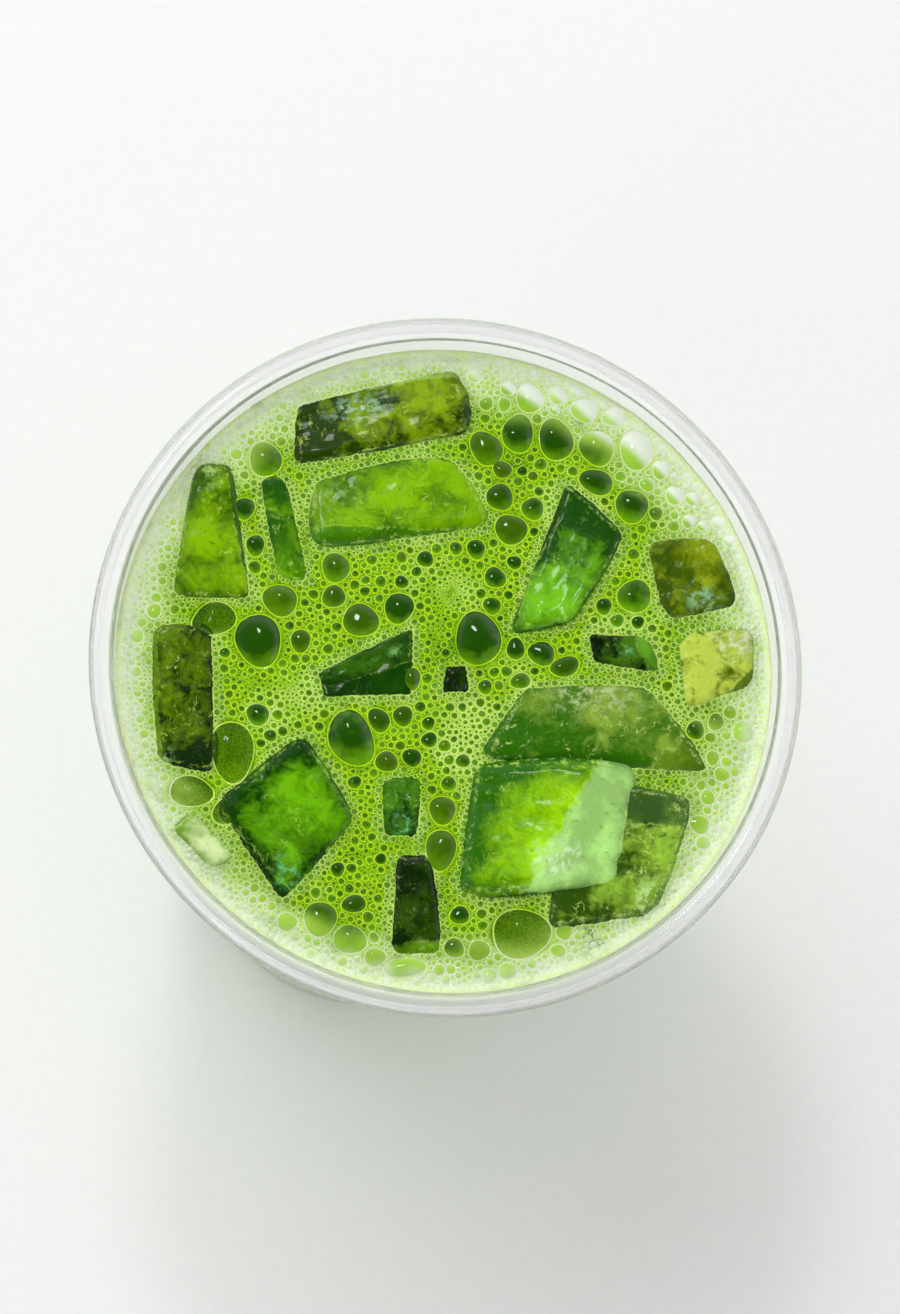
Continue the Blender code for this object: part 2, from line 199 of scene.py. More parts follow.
PAINTS = {
    "ice_top": Paint(
        (34, 62, 0), (138, 172, 0), (0.5, 0.3), -0.06, (172, 212, 172), (-0.2, 0.35), 0.55,
        (0.1, 1.0, 0.8), (160, 200, 84), streaks=0.7, rime=0.2, core=0.3, marble=1.5,
    ),
    "ice_upper": Paint(
        (48, 100, 0), (134, 188, 0), (0.5, 0.1), 0.08, (140, 180, 80), (-0.7, 0.3), 0.5,
        (-0.3, -1.0, 0.66), (62, 120, 0), specks=0.5, streaks=0.6, rime=0.1,
    ),
    "ice_upper_side": Paint(
        (30, 86, 0), (110, 172, 6), (-0.8, 0.3), 0.0, streaks=0.7, rime=0.1, marble=1.3
    ),
    "ice_left_high": Paint(
        (58, 100, 0), (136, 186, 4), (-0.2, 0.1), 0.0, (190, 226, 140), (1.0, 0.1), 0.5,
        (0.15, -1.0, 0.66), (50, 96, 0), streaks=0.8, rime=0.1, core=0.5, marble=1.3,
    ),
    "ice_left_low": Paint(
        (14, 42, 0), (98, 136, 0), (0.2, 0.8), -0.2, (140, 190, 110), (-0.9, 0.6), 0.4,
        (0.0, 1.0, 0.7), (112, 152, 10), streaks=1.0, rime=0.15, core=0.3, marble=1.5,
    ),
    "ice_lower_left": Paint(
        (16, 64, 0), (108, 182, 6), (0.5, 0.3), -0.02, (104, 200, 120), (0.62, -0.55), 0.35,
        (0.15, -1.0, 0.8), (12, 40, 0), specks=0.3, streaks=0.5, rime=0.2, core=0.8, marble=1.1,
    ),
    "ice_wall_left": Paint(
        (120, 170, 50), (220, 240, 170), (0.2, 0.3), 0.2, specks=0.1, streaks=0.6, marble=1.4
    ),
    "ice_wedge": Paint(
        (14, 56, 0), (58, 110, 4), (0.2, 0.8), -0.14, (110, 170, 80), (0.6, 0.4), 0.25,
        (0.15, -1.0, 0.1), (18, 64, 0), specks=0.1, streaks=0.5, rime=0.1, core=0.2,
    ),
    "ice_chip": Paint((10, 34, 0), (40, 84, 2), (0.2, 0.2), -0.3, specks=0.0, streaks=0.1, rime=0.0),
    "ice_kite": Paint(
        (22, 72, 0), (116, 192, 18), (0.2, -1.0), -0.04, (130, 205, 100), (0.1, 0.2), 0.25,
        (-1.0, 0.25, 0.84), (24, 64, 0), specks=0.2, streaks=0.5, rime=0.15, core=0.3, marble=0.9,
    ),
    "ice_right_high": Paint(
        (56, 84, 0), (148, 170, 14), (0.4, 0.3), -0.04, (144, 196, 140), (0.1, -0.6), 0.6,
        specks=0.9, streaks=0.5, rime=0.3, marble=1.2,
    ),
    "ice_right_wall": Paint(
        (80, 104, 0), (188, 210, 76), (0.1, 0.3), -0.04, (214, 232, 178), (0.6, 0.6), 1.0,
        (0.7, -0.8, 0.9), (80, 110, 0), specks=0.3, streaks=1.0, rime=0.5, core=0.2, marble=2.6,
    ),
    "ice_small_dark": Paint(
        (6, 30, 0), (68, 116, 10), (0.7, 0.2), -0.24, (112, 190, 124), (0.1, 0.1), 0.4,
        (1.0, 0.0, 0.5), (90, 150, 30), specks=0.3, streaks=0.8, rime=0.3, core=0.2, marble=1.7,
    ),
    "ice_big_back": Paint(
        (44, 104, 0), (142, 174, 58), (0.5, 0.4), 0.02, (184, 208, 140), (0.1, 0.75), 0.85,
        (1.0, -0.6, 0.95), (100, 134, 24), specks=0.6, streaks=0.9, rime=0.4, core=0.3, marble=1.1,
    ),
    "ice_big": Paint(
        (40, 102, 0), (166, 228, 0), (1.5, -0.7), 0.16, (214, 246, 190), (0.15, -0.5), 0.45,
        (1.0, -0.34, 0.12), (176, 228, 130), specks=0.3, streaks=0.5, rime=0.4, core=0.5, marble=0.5,
    ),
    "ice_lower_right": Paint(
        (48, 82, 4), (154, 200, 60), (1.1, -0.3), -0.14, (200, 238, 150), (0.7, -0.7), 0.5,
        (0.0, 1.0, 0.42), (66, 104, 40), specks=0.3, streaks=0.9, rime=0.3, core=0.2, marble=1.3,
    ),
    "ice_bottom": Paint(
        (12, 38, 0), (54, 90, 2), (0.1, -0.3), -0.3, (150, 190, 90), (0.2, -0.9), 0.4,
        (0.1, -1.0, 0.7), (98, 150, 0), streaks=0.6, rime=0.2, marble=1.3,
    ),
    "ice_sunken": Paint(
        (16, 52, 2), (72, 132, 20), (0.1, 0.2), -0.08, (112, 196, 126), (0.1, -0.5), 0.6,
        streaks=0.8, marble=1.6,
    ),
}

# The widest bubbles, as x, y, half width and half length in mm and a turn in degrees.
WIDE_BUBBLES = (
    (-24.7, 29.3, 2.4, 2.5, 0), (-27.6, 22.2, 1.5, 1.7, 0), (-26.1, 17.0, 1.4, 1.6, 0),
    (-26.2, 13.9, 1, 1, 0), (-22.7, 9.3, 2.5, 2.3, 0), (-19.9, 3.6, 1.5, 1.7, 0),
    (-25.7, 3.6, 3.3, 3.7, 20), (-15.0, 14.0, 2.1, 2.1, 0), (-15.3, 9.9, 1.8, 1.6, 10),
    (-11.6, 6.6, 2.5, 2.5, 0), (-6.3, 8.4, 2.1, 2.3, 0), (-8.8, 12.1, 0.9, 0.9, 0),
    (-5.9, 12.1, 1.1, 1, 0), (-11, 10.7, 0.8, 0.8, 0), (-2.6, 15.4, 1.3, 1.2, 0),
    (6.1, 31.4, 2.3, 2.6, 30), (10.6, 33.6, 2.2, 3.0, 0), (15.9, 32.8, 2.5, 3.1, 0),
    (21.6, 31.7, 2.5, 2.6, 0), (27.2, 31.4, 2.4, 2.8, 20), (12.3, 38.7, 2.0, 2.1, 0),
    (16.3, 39.2, 1.4, 1.3, 0), (20.0, 37.1, 1.9, 1.8, 0), (24.1, 36.2, 1.6, 1.4, 0),
    (6.2, 37.9, 1.0, 1.1, 0), (8.7, 37.8, 1.0, 1.1, 0), (30.6, 28.7, 1.3, 1.4, 0),
    (32.5, 25.0, 1.3, 1.4, 0), (21.5, 26.8, 2.5, 1.9, -10), (26.4, 23.4, 2.3, 2.6, 0),
    (8.3, 28.4, 1.4, 1.4, 0), (11.1, 28.2, 0.8, 0.8, 0), (7.9, 24.4, 1.9, 2.1, 0),
    (12.5, 22.8, 1.6, 1.8, 20), (9.4, 19.8, 2.3, 2.3, 0), (4.5, 16.9, 1.4, 1.5, 0),
    (9.8, 15.1, 1.1, 1.1, 0), (7.1, 12.9, 1.6, 1.6, 0), (6.6, 8.9, 1.4, 1.3, 0),
    (4.6, 4.2, 3.3, 3.8, 15), (9.8, 2.8, 1.4, 1.6, 0), (13.4, 2.2, 2.0, 1.8, 0),
    (10.4, -1.7, 1.5, 1.2, 20), (16.6, 0.4, 2.3, 1.4, 20), (26.5, 10.5, 2.4, 2.5, 0),
    (22.2, 9.0, 1.2, 1.3, 0), (24.0, 7.0, 1.1, 1, 0), (26.9, 6.8, 1, 1, 0), (-4.6, -1.6, 1.2, 1.8, 0),
    (-13.0, -10.0, 3.2, 4.0, 28), (-9.2, -7.4, 1.5, 1.9, 20), (-5.9, -6.8, 1.5, 1.5, 0),
    (-8.2, -13.2, 1.6, 1.6, 0), (-4.7, -12.6, 1.4, 1.4, 0), (-2.3, -10.1, 1.2, 1.2, 0),
    (-25.8, -6.8, 1.7, 1.6, 0), (-0.6, -19.9, 2.0, 2.0, 0), (0.3, -16.2, 1.2, 1.1, 0),
    (-0.9, -25.4, 2.2, 2.9, 0), (-17.4, -35.0, 2.4, 2.4, 0), (-13.4, -37.8, 2.3, 2.1, 0),
    (-12.8, -32.9, 1.8, 1.3, 0), (-21.9, -35.4, 1.4, 1.4, 0), (-10.0, -40.2, 1.6, 1.3, 0),
    (4.2, -39.2, 1.5, 1.5, 0), (0.8, -38.9, 1.5, 1.4, 0), (1.6, -34.4, 1.5, 1.3, 0),
    (-6.0, -41.6, 2.9, 1.4, 5), (34.6, -8.4, 1.4, 1.4, 0), (37.5, -7.2, 1.2, 1.3, 0),
    (41.2, -8.6, 1.5, 1.6, 0), (36.9, -12.3, 1, 1.1, 0), (34.9, -21.6, 1.4, 1.4, 0),
    (15.9, -36.6, 1.2, 1.2, 0), (15.0, -39.2, 1.1, 1.0, 0), (8.0, -42.0, 1.3, 1.2, 0),
)
# Wide bubbles of clear film, which show the hollow under them.
FILM_BUBBLES = (
    (-31.8, 6.5, 3.2, 2.3, 10), (-29.3, -12.0, 3.0, 4.3, 10), (-34.9, -17.6, 3.1, 2.1, 0),
    (10.0, -36.9, 4.2, 3.3, 0), (-30.2, -20.4, 1.9, 1.8, 0),
)
# Pale patches (positive) and dark ones (negative) of the foam, as x, y, reach in mm and strength.
FOAM_PATCHES = (
    (2.5, -10.5, 6.0, 0.9), (4.5, -5.0, 4.0, 0.6), (-19.5, -3.5, 4.0, 0.8), (26.0, 6.5, 5.0, 0.7),
    (16.0, 24.5, 4.0, 0.35), (1.5, 12.5, 6.0, 0.3), (-24.0, -8.0, 5.0, 0.35), (-27.0, 26.0, 5.0, 0.4),
    (-2.0, 18.0, 5.0, 0.25), (6.0, -34.0, 6.0, 0.3), (33.0, -5.0, 6.0, 0.45), (1.5, 1.0, 5.0, -0.8),
    (-6.5, -16.5, 5.0, -0.7), (-2.0, -28.0, 5.0, -0.5), (10.0, 28.0, 5.0, -0.35),
    (29.0, 17.0, 4.0, -0.3), (-13.0, -24.5, 5.0, -0.35), (9.5, 6.5, 5.0, -0.25),
    (-22.0, 13.0, 4.0, -0.3), (20.0, -36.0, 4.0, -0.3),
)
# The sides where the pale band is widest and where bubbles by the wall get a painted sheen, from +X.
PALE_SIDE = math.radians(20)
SHEEN_SIDE = math.radians(48)
# Where the palest ring, the pale band and the painted sheen start and end, in mm from the axis.
EDGE_RING = (41.2, 44.8)
WALL_BAND = (37.6, 43.0)
SHEEN_RING = (39.0, 41.0)

# Bubbles dropped at random: smallest and largest half width in mm, and how many at most.
BUBBLE_STEPS = (
    (0.85, 1.15, 36), (0.62, 0.85, 190), (0.45, 0.62, 620), (0.34, 0.45, 900), (0.26, 0.34, 1900),
    (0.20, 0.26, 2400), (0.16, 0.20, 3000),
)
# The beads along the ice: their sizes, how far they lap over it, and their bands of distance from it.
BEAD = (0.22, 0.52)
BEAD_LAP = 0.26
BEAD_BANDS = ((0.0, 0.32, 1300), (0.45, 1.0, 500))
# Room round a wide bubble as a share of it, and room left at the wall, in mm.
WIDE_ROOM = 1.06
WALL_ROOM = 0.25
# The step of the map of free room, how far round a block or a bubble it is worked out, and a
# distance that counts as none near, in mm.
MAP_STEP = 0.1
MAP_MARGIN = 5
STAMP_MARGIN = 3.0
FAR_OFF = 99.0
# From which half width in mm a bubble is one of the wide or the middle ones.
WIDE_FROM, MIDDLE_FROM = 0.8, 0.42
# How much of a round cap's slope a bubble's dome keeps.
DOME_STEEP = 0.72
# The foam's slow ripples and its slow change of tone, as strength, size and seed.
FOAM_RIPPLES = ((0.10, 7.0, 31), (0.04, 2.6, 32))
TONE_RIPPLES = ((0.22, 9.0, 21), (0.14, 3.0, 22))
# How high the foam climbs the ice, and within what distance, in mm.
ICE_CLIMB, ICE_CLIMB_REACH = 0.22, 0.5
# How deep the foam dips under the ice, and under a film as a share of the film's half width.
ICE_DIP = 2.6 * MM
FILM_DIP = 0.42


class Dome(NamedTuple):
    """One kind of bubble: its rings' shares of the radius, its sides, its height and its rim.

    The height is a share of the radius and the rim a width in mm. wobble is how far the outline
    wavers, paler how much paler than the foam the bubbles are.
    """

    shares: tuple
    sides: int
    height: float
    rim: float
    wobble: float
    paler: float = 0.0


FINE_RINGS = (0.16, 0.32, 0.48, 0.62, 0.75, 0.88)
DOMES = {
    "bubbles_wide": Dome(FINE_RINGS, 40, 0.28, 0.08, 0.09),
    "bubbles_middle": Dome((0.35, 0.7), 14, 0.32, 0.07, 0.08),
    "bubbles_bead": Dome((0.45, 0.8), 10, 0.9, 0.07, 0.05, paler=0.6),
    "bubbles_small": Dome((), 7, 0.36, 0.05, 0.04),
    "bubbles_clear": Dome(FINE_RINGS, 56, 0.26, 0.10, 0.10, paler=0.3),
}
# The bright line painted round a bubble, in mm, and how much of a clear film's middle covers.
BROAD_LINE, THIN_LINE = 0.17, 0.10
FILM_COVER = 0.35

# Each finish's even values, by the shader's own labels.
PLASTIC = {"Transmission Weight": 0.86, "IOR": 1.3}
TEA = {"IOR": 1.33}
FOAM = {"IOR": 1.33, "Specular IOR Level": 0.12}
BUBBLE_SKIN = {
    "IOR": 1.33, "Specular IOR Level": 0.1, "Coat Weight": 0.8, "Coat IOR": 1.38, "Coat Roughness": 0.08,
}
WET_ICE = {"IOR": 1.31, "Specular IOR Level": 0.25, "Coat Weight": 0.2, "Coat IOR": 1.4}
TABLE = {"Specular IOR Level": 0.2}
# Depths of the fine relief painted on the plastic, the froth and the ice.
PLASTIC_RELIEF, FROTH_RELIEF, ICE_RELIEF = 0.02 * MM, 0.06 * MM, 0.2 * MM
# The plastic's tint where it is clearest and where it is a little dull.
CLEAR, CLEAR_DULL = (1, 1, 1, 1), (0.985, 0.995, 0.99, 1)
# What darkens the middles of the finest froth's cells, and the outline of a block of ice.
FROTH_CELL_TINT = (0.55, 0.68, 0.4, 1)
ICE_RIM_TINT = (0.16, 0.22, 0.1, 1)
# A painted grey line at the plastic's outer edge stands in for the shade that the clear lip's edge shows:
# where that starts and ends inside it, in mm, and its grey.
LIP_LINE = (0.45, 0.05)
LIP_SHADE_GREY = (0.42, 0.43, 0.42, 1)


class Lamp(NamedTuple):
    """A round lamp that shines on the foam: its width and place in metres, and where it shows."""

    width: float
    place: tuple
    in_mirrors: bool = True
    through_plastic: bool = True


LAMPS = {
    "key": Lamp(1.8, (-0.72, 1.02, 1.89), in_mirrors=False),
    "spark": Lamp(0.15, (-0.14, 0.45, 1.05), through_plastic=False),
    "side": Lamp(0.16, (-0.62, -0.66, 0.62), through_plastic=False),
}
# How far up the sky starts to darken and where it is darkest: 0 level, 1 overhead.
SKY_BRIGHT_TO, SKY_DARK_FROM = 0.35, 0.9
FLOOR_HALF = 4.0


def colour(name, text, rgb):
    """A colour setting, given as an sRGB colour from 0 to 255."""
    return FloatVectorProperty(
        name=name, description=text, subtype="COLOR_GAMMA", size=3, min=0, max=1,
        default=[value / 255 for value in rgb],
    )


def length(name, text, value):
    """A length setting, in metres."""
    return FloatProperty(name=name, description=text, default=value, unit="LENGTH", precision=5)


def amount(name, text, value, **kinds):
    """A setting that is a plain number, or what the kinds say it is. It isn't below zero."""
    return FloatProperty(name=name, description=text, default=value, min=0, **kinds)


class TumblerSettings(bpy.types.PropertyGroup):
    """Sizes of the clear tumbler."""

    rim_radius: length("Rim radius", "Out to the widest circle of the lip", RIM_RADIUS)
    height: length("Height", "From the table to the top of the lip", CUP_HEIGHT)
    wall: length("Wall", "Thickness of the wall", 0.6 * MM)
    lip_radius: length("Lip radius", "Of the rolled lip's section", 1.7 * MM)
    floor_radius: length("Floor radius", "Inside, at the foot of the wall", 30.4 * MM)
    floor_z: length("Floor height", "Where the wall's cone starts", 6.0 * MM)
    foot_inner: length("Foot inside", "Inner radius of the standing ring", 27.6 * MM)
    foot_outer: length("Foot outside", "Outer radius of the standing ring", 29.7 * MM)
    foot_rounding: length("Foot rounding", "Of the standing ring's edges", 0.8 * MM)
    punt_height: length("Punt height", "How far the base is pushed up", 3.2 * MM)
    punt_slope: length("Punt slope", "Width of the slope round the punt", 2.0 * MM)
    segments: IntProperty(name="Segments", description="Faces round the tumbler", default=448, min=24)


class DrinkSettings(bpy.types.PropertyGroup):
    """The tea, its foam and their colours."""

    level: length("Foam level", "Height of the foam's surface", FOAM_LEVEL)
    foam_depth: length("Foam depth", "From the surface down to the tea", 5.2 * MM)
    bite: length("Bite", "How far the drink reaches into the wall, so that no gap shows", 0.3 * MM)
    meniscus: length("Meniscus", "How far the foam climbs the wall", 0.9 * MM)
    grid: IntProperty(name="Grid", description="Faces across the foam's surface", default=290, min=40)
    seed: IntProperty(name="Seed", description="Changes which small bubbles form", default=5)
    vivid: colour("Vivid foam", "The foam's bright yellow-green", (116, 168, 0))
    pale: colour("Pale foam", "Where the foam is thick or thin over white", (212, 242, 122))
    wall: colour("Wall foam", "Next to the wall", (222, 250, 130))
    edge: colour("Edge foam", "The palest ring, where the foam meets the wall", (246, 253, 230))
    dark: colour("Dark foam", "Where the deep drink shows through", (52, 112, 4))
    web: colour("Bubble rims", "The thin bright line round each bubble", (190, 234, 24))
    froth: colour("Froth", "The web between bubbles too small to model", (148, 200, 4))
    # Painted sheen: white painted on bubbles by the wall, where they would mirror the light.
    painted_sheen: colour("Pearl", "Where a bubble next to the wall catches the light", (240, 248, 232))
    bubble: colour("Bubble", "Its dark middle", (30, 76, 0))
    # This green is also the painted light on each bubble's lower side.
    bubble_low: colour("Bubble edge", "Inside a bubble, towards its rim", (112, 172, 6))
    bubble_olive: colour("Olive bubble", "The middle of some bubbles", (84, 120, 0))
    bubble_wall: colour("Wall bubble", "The middle of a bubble next to the wall", (186, 232, 84))
    tea: colour("Tea", "The drink seen through the wall", (84, 146, 4))
    tea_cloud: colour("Cloudy tea", "Where more milk shows", (132, 186, 30))


class IceSettings(bpy.types.PropertyGroup):
    """The surface of the melting ice."""

    dents: length("Dents", "Depth of the wide dents of melting ice", 0.35 * MM)
    dent_size: length("Dent size", "From one dent to the next", 4.5 * MM)
    chips: length("Chips", "Depth of the small dents", 0.035 * MM)
    chip_size: length("Chip size", "From one small dent to the next", 1.4 * MM)
    edge_dark: amount("Edge darkness", "How much darker a block's edges are", 0.75, max=1)


class StageSettings(bpy.types.PropertyGroup):
    """The floor, the light and the camera."""

    floor: colour("Floor", "The pale table", (246, 246, 246))
    key_power: amount("Key light", "Power of the wide lamp at the upper left", 16.5, unit="POWER")
    spark_power: amount("Spark light", "Power of the small lamp over it", 1.6, unit="POWER")
    side_power: amount("Side light", "Power of the low lamp", 0.35, unit="POWER")
    sky: amount("Sky", "Brightness of the pale surroundings", 1.55)
    ceiling: amount("Ceiling", "Brightness overhead, as a share of it", 0.06)
    tilt: amount("Tilt", "Of the camera, off the vertical", math.radians(14), subtype="ANGLE")
    towards: amount("Towards", "Side the camera leans to, from +X", math.radians(245), subtype="ANGLE")
    distance: length("Distance", "From the camera to the middle of the lip", 600 * MM)
    aim_x: length("Aim right", "Camera's shift to its right", 0.109 * MM)
    aim_y: length("Aim up", "Camera's shift upwards in its picture", 0.327 * MM)
    lens: amount("Lens", "Focal length in mm", 120.57)


def cup():
    """The tumbler's sizes."""
    return bpy.context.scene.matcha_tumbler


def drink():
    """The tea's and the foam's sizes and colours."""
    return bpy.context.scene.matcha_drink


def linear(rgb):
    """An sRGB colour from 0 to 1 as linear light, with alpha."""
    return (*(c / 12.92 if c <= 0.04045 else ((c + 0.055) / 1.055) ** 2.4 for c in rgb), 1.0)


def linear_bytes(rgb):
    """An sRGB colour from 0 to 255 as linear light, with alpha."""
    return linear([value / 255 for value in rgb])


def smooth_step(value, start, end):
    """0 before start, 1 after end, and an S-shaped curve between them."""
    share = np.clip((value - start) / (end - start), 0, 1)
    return share * share * (3 - 2 * share)


def ripple(x, y, size, seed, waves=7):
    """Smooth noise from -1 to 1: sine waves about size long, each in its own direction."""
    draw = np.random.default_rng(seed)
    way = draw.uniform(0, math.tau, waves)
    phase = draw.uniform(0, math.tau, waves)
    step = math.tau / (size * draw.uniform(0.7, 1.5, waves))
    total = sum(np.sin((x * np.cos(w) + y * np.sin(w)) * s + p) for w, s, p in zip(way, step, phase))
    return total / math.sqrt(waves) / 1.4


def ripples(x, y, rows):
    """Smooth noises added up, each given as its strength, its size and its seed."""
    return sum(strength * ripple(x, y, size, seed) for strength, size, seed in rows)


def ellipse_share(dx, dy, rx, ry, turn=0.0):
    """0 in the middle of a turned ellipse and 1 on its outline, for offsets from its middle."""
    c, s = math.cos(turn), math.sin(turn)
    return np.hypot((dx * c + dy * s) / rx, (dy * c - dx * s) / ry)


def inner_radius(z):
    """The tumbler's inner wall is a straight cone from the floor to the lip."""
    size = cup()
    top_radius, top_z = size.rim_radius - 2 * size.lip_radius, size.height - size.lip_radius
    climbed = (z - size.floor_z) / (top_z - size.floor_z)
    return size.floor_radius + (top_radius - size.floor_radius) * climbed


def mesh_from(name, points, faces, sharp=None):
    """An object at the origin from an array of points and arrays of triangles and quads."""
    mesh = bpy.data.meshes.new(name)
    mesh.vertices.add(len(points))
    mesh.vertices.foreach_set("co", np.ascontiguousarray(points, np.float32).ravel())
    mesh.loops.add(sum(array.size for array in faces))
    mesh.loops.foreach_set("vertex_index", np.concatenate([a.ravel() for a in faces]).astype(np.int32))
    mesh.polygons.add(sum(len(array) for array in faces))
    sizes = np.concatenate([np.full(len(array), array.shape[1]) for array in faces])
    mesh.polygons.foreach_set("loop_start", (np.cumsum(sizes) - sizes).astype(np.int32))
    mesh.update(calc_edges=True)
    mesh.validate()
    mesh.shade_smooth()
    if sharp:
        mesh.set_sharp_from_angle(angle=math.radians(sharp))
    made = bpy.data.objects.new(name, mesh)
    bpy.context.scene.collection.objects.link(made)
    return made


def add_value(piece, name, values):
    """Keeps one number or one vector for each point of the piece, for its material to read."""
    kind = "FLOAT" if values.ndim == 1 else "FLOAT_VECTOR"
    kept = piece.data.attributes.new(name, kind, "POINT")
    kept.data.foreach_set("value" if values.ndim == 1 else "vector", values.astype(np.float32).ravel())


def turned(name, profile, segments, sharp=None):
    """A lathe: each (radius, height) of the profile goes round Z. Both ends lie on the axis.

    Point (i, j) is (r_j cos a_i, r_j sin a_i, z_j), with a_i = i / segments of a full turn.
    """
    profile = np.array(profile)
    angles = np.arange(segments) * math.tau / segments
    ring = np.stack([np.cos(angles), np.sin(angles)], axis=1)
    middle = profile[1:-1]
    rows = np.empty((len(middle), segments, 3))
    rows[:, :, :2] = middle[:, None, :1] * ring
    rows[:, :, 2] = middle[:, 1:]
    ends = np.array([(0, 0, profile[0, 1]), (0, 0, profile[-1, 1])])
    points = np.concatenate([ends, rows.reshape(-1, 3)])
    index = 2 + np.arange(len(middle) * segments).reshape(len(middle), segments)
    after = np.roll(index, -1, axis=1)
    quads = np.stack([index[:-1], after[:-1], after[1:], index[1:]], axis=-1).reshape(-1, 4)
    first = np.stack([np.zeros(segments, int), after[0], index[0]], axis=-1)
    last = np.stack([np.ones(segments, int), index[-1], after[-1]], axis=-1)
    return mesh_from(name, points, [quads, first, last], sharp)


def arc(centre_r, centre_z, radius, start, end, steps):
    """Points on a circle in the profile's plane, both ends included, angles in degrees."""
    angles = np.radians(np.linspace(start, end, steps + 1))
    return list(zip(centre_r + radius * np.cos(angles), centre_z + radius * np.sin(angles)))


def tumbler_profile():
    """From the punt's middle out and up the outside, round the open rolled lip, down the inside."""
    size = cup()
    lip_r, lip_z = size.rim_radius - size.lip_radius, size.height - size.lip_radius
    foot_top, bend = size.floor_z / 2, size.foot_rounding
    outside = [
        (0.0, size.punt_height),
        (size.foot_inner - size.punt_slope, size.punt_height),
        (size.foot_inner - bend / 2, bend),
        *arc(size.foot_inner + bend / 4, bend / 4, bend / 4, 180, 270, 4),
        *arc(size.foot_outer - bend / 4, bend / 4, bend / 4, 270, 330, 4),
        (size.foot_outer + bend, bend),
        (inner_radius(foot_top) + size.wall, foot_top),
    ]
    outside += [(inner_radius(z) + size.wall, z) for z in np.linspace(foot_top, lip_z, 14)[1:-1]]
    hollow = arc(lip_r, lip_z, size.lip_radius - size.wall, 180, -90, 30)
    edge = arc(lip_r, lip_z - size.lip_radius + size.wall / 2, size.wall / 2, 90, -90, 6)[1:-1]
    roll = arc(lip_r, lip_z, size.lip_radius, -90, 180, 36)
    inside = [(inner_radius(z), z) for z in np.linspace(lip_z, foot_top, 14)[1:]]
    inside += [
        (size.foot_outer - size.wall / 4, size.wall + bend),
        (size.foot_outer - bend, size.wall),
        (size.foot_inner + bend / 2, size.wall),
        (size.foot_inner - size.punt_slope + size.wall / 2, size.punt_height + size.wall),
        (0.0, size.punt_height + size.wall),
    ]
    return outside + hollow + edge + roll + inside


def tea_profile():
    """The tea fills the tumbler and reaches a little into its wall. Its top lies just in the foam."""
    size, fill = cup(), drink()
    top = fill.level - fill.foam_depth + fill.bite
    foot_top, bite = size.floor_z / 2, fill.bite
    return [
        (0.0, size.punt_height + size.wall - bite),
        (size.foot_inner - size.punt_slope + size.wall / 2 - bite / 2, size.punt_height + size.wall - bite),
        (size.foot_inner + size.foot_rounding / 2 - bite, size.wall - bite),
        (size.foot_outer - size.foot_rounding + bite, size.wall - bite),
        (size.foot_outer - size.wall / 4 + bite, size.wall + size.foot_rounding),
        *[(inner_radius(z) + bite, z) for z in np.linspace(foot_top, top, 40)],
        (0.0, top),
    ]


def melted(unit, block, phase):
    """Carries points of the cube from -1 to 1 onto the block, in place.

    The middle of each side stays flat and the rest bends round at the rounding's radius. Slow
    waves dent the whole, the foot shrinks, the sides bulge and the top tilts and rises to its
    crest. Then the plan is drawn out to the block's four edges. It also gives each point's place
    along, across and up the block, from -1 to 1.
    """
    edges = np.array(block.edges) * MM
    ahead = (edges[1] + edges[2] - edges[0] - edges[3]) / 4
    aside = (edges[2] + edges[3] - edges[0] - edges[1]) / 4
    twist = (edges[0] + edges[2] - edges[1] - edges[3]) / 4
    rounding = block.rounding * MM
    hidden = rounding - math.sqrt(rounding**2 - max(0.0, rounding - block.rise * MM) ** 2)
    shown = np.array((np.hypot(*ahead), np.hypot(*aside), block.depth * MM / 2))
    half = shown + (hidden, hidden, 0)
    inside = np.minimum(np.abs(unit) / ICE_FLAT, 1.0) * (half - rounding)
    bend = np.maximum(np.abs(unit) - ICE_FLAT, 0.0) / (1 - ICE_FLAT)
    reach = np.linalg.norm(bend, axis=1, keepdims=True)
    point = np.sign(unit) * (inside + rounding * bend / np.where(reach > 0, reach, 1.0))
    share = point / half
    along, across, up = share.T
    dent = np.sin(2.3 * along + phase) * np.cos(1.9 * across - phase) + np.sin(2.7 * up + 2 * phase)
    point *= (1 + MELT * dent)[:, None]
    climb = block.tilt[0] * along + block.tilt[1] * across
    crest_at = CREST_AT + CREST_SLANT * across
    climb += block.crest * (1 - np.abs(along - crest_at) / (1 + crest_at * np.sign(crest_at - along)))
    shrink = 1 - FOOT_SHRINK * 0.5 * (1 - up)
    u = point[:, :1] / shown[0] * (shrink * (1 + block.bulge * (1 - across**2)))[:, None]
    v = point[:, 1:2] / shown[1] * (shrink * (1 + block.bulge * (1 - along**2)))[:, None]
    plan = edges.mean(axis=0) + u * ahead + v * aside + u * v * twist
    height = drink().level + (block.rise - block.depth / 2) * MM + point[:, 2] + climb * MM * (1 + up) / 2
    return np.column_stack([plan, height]), share


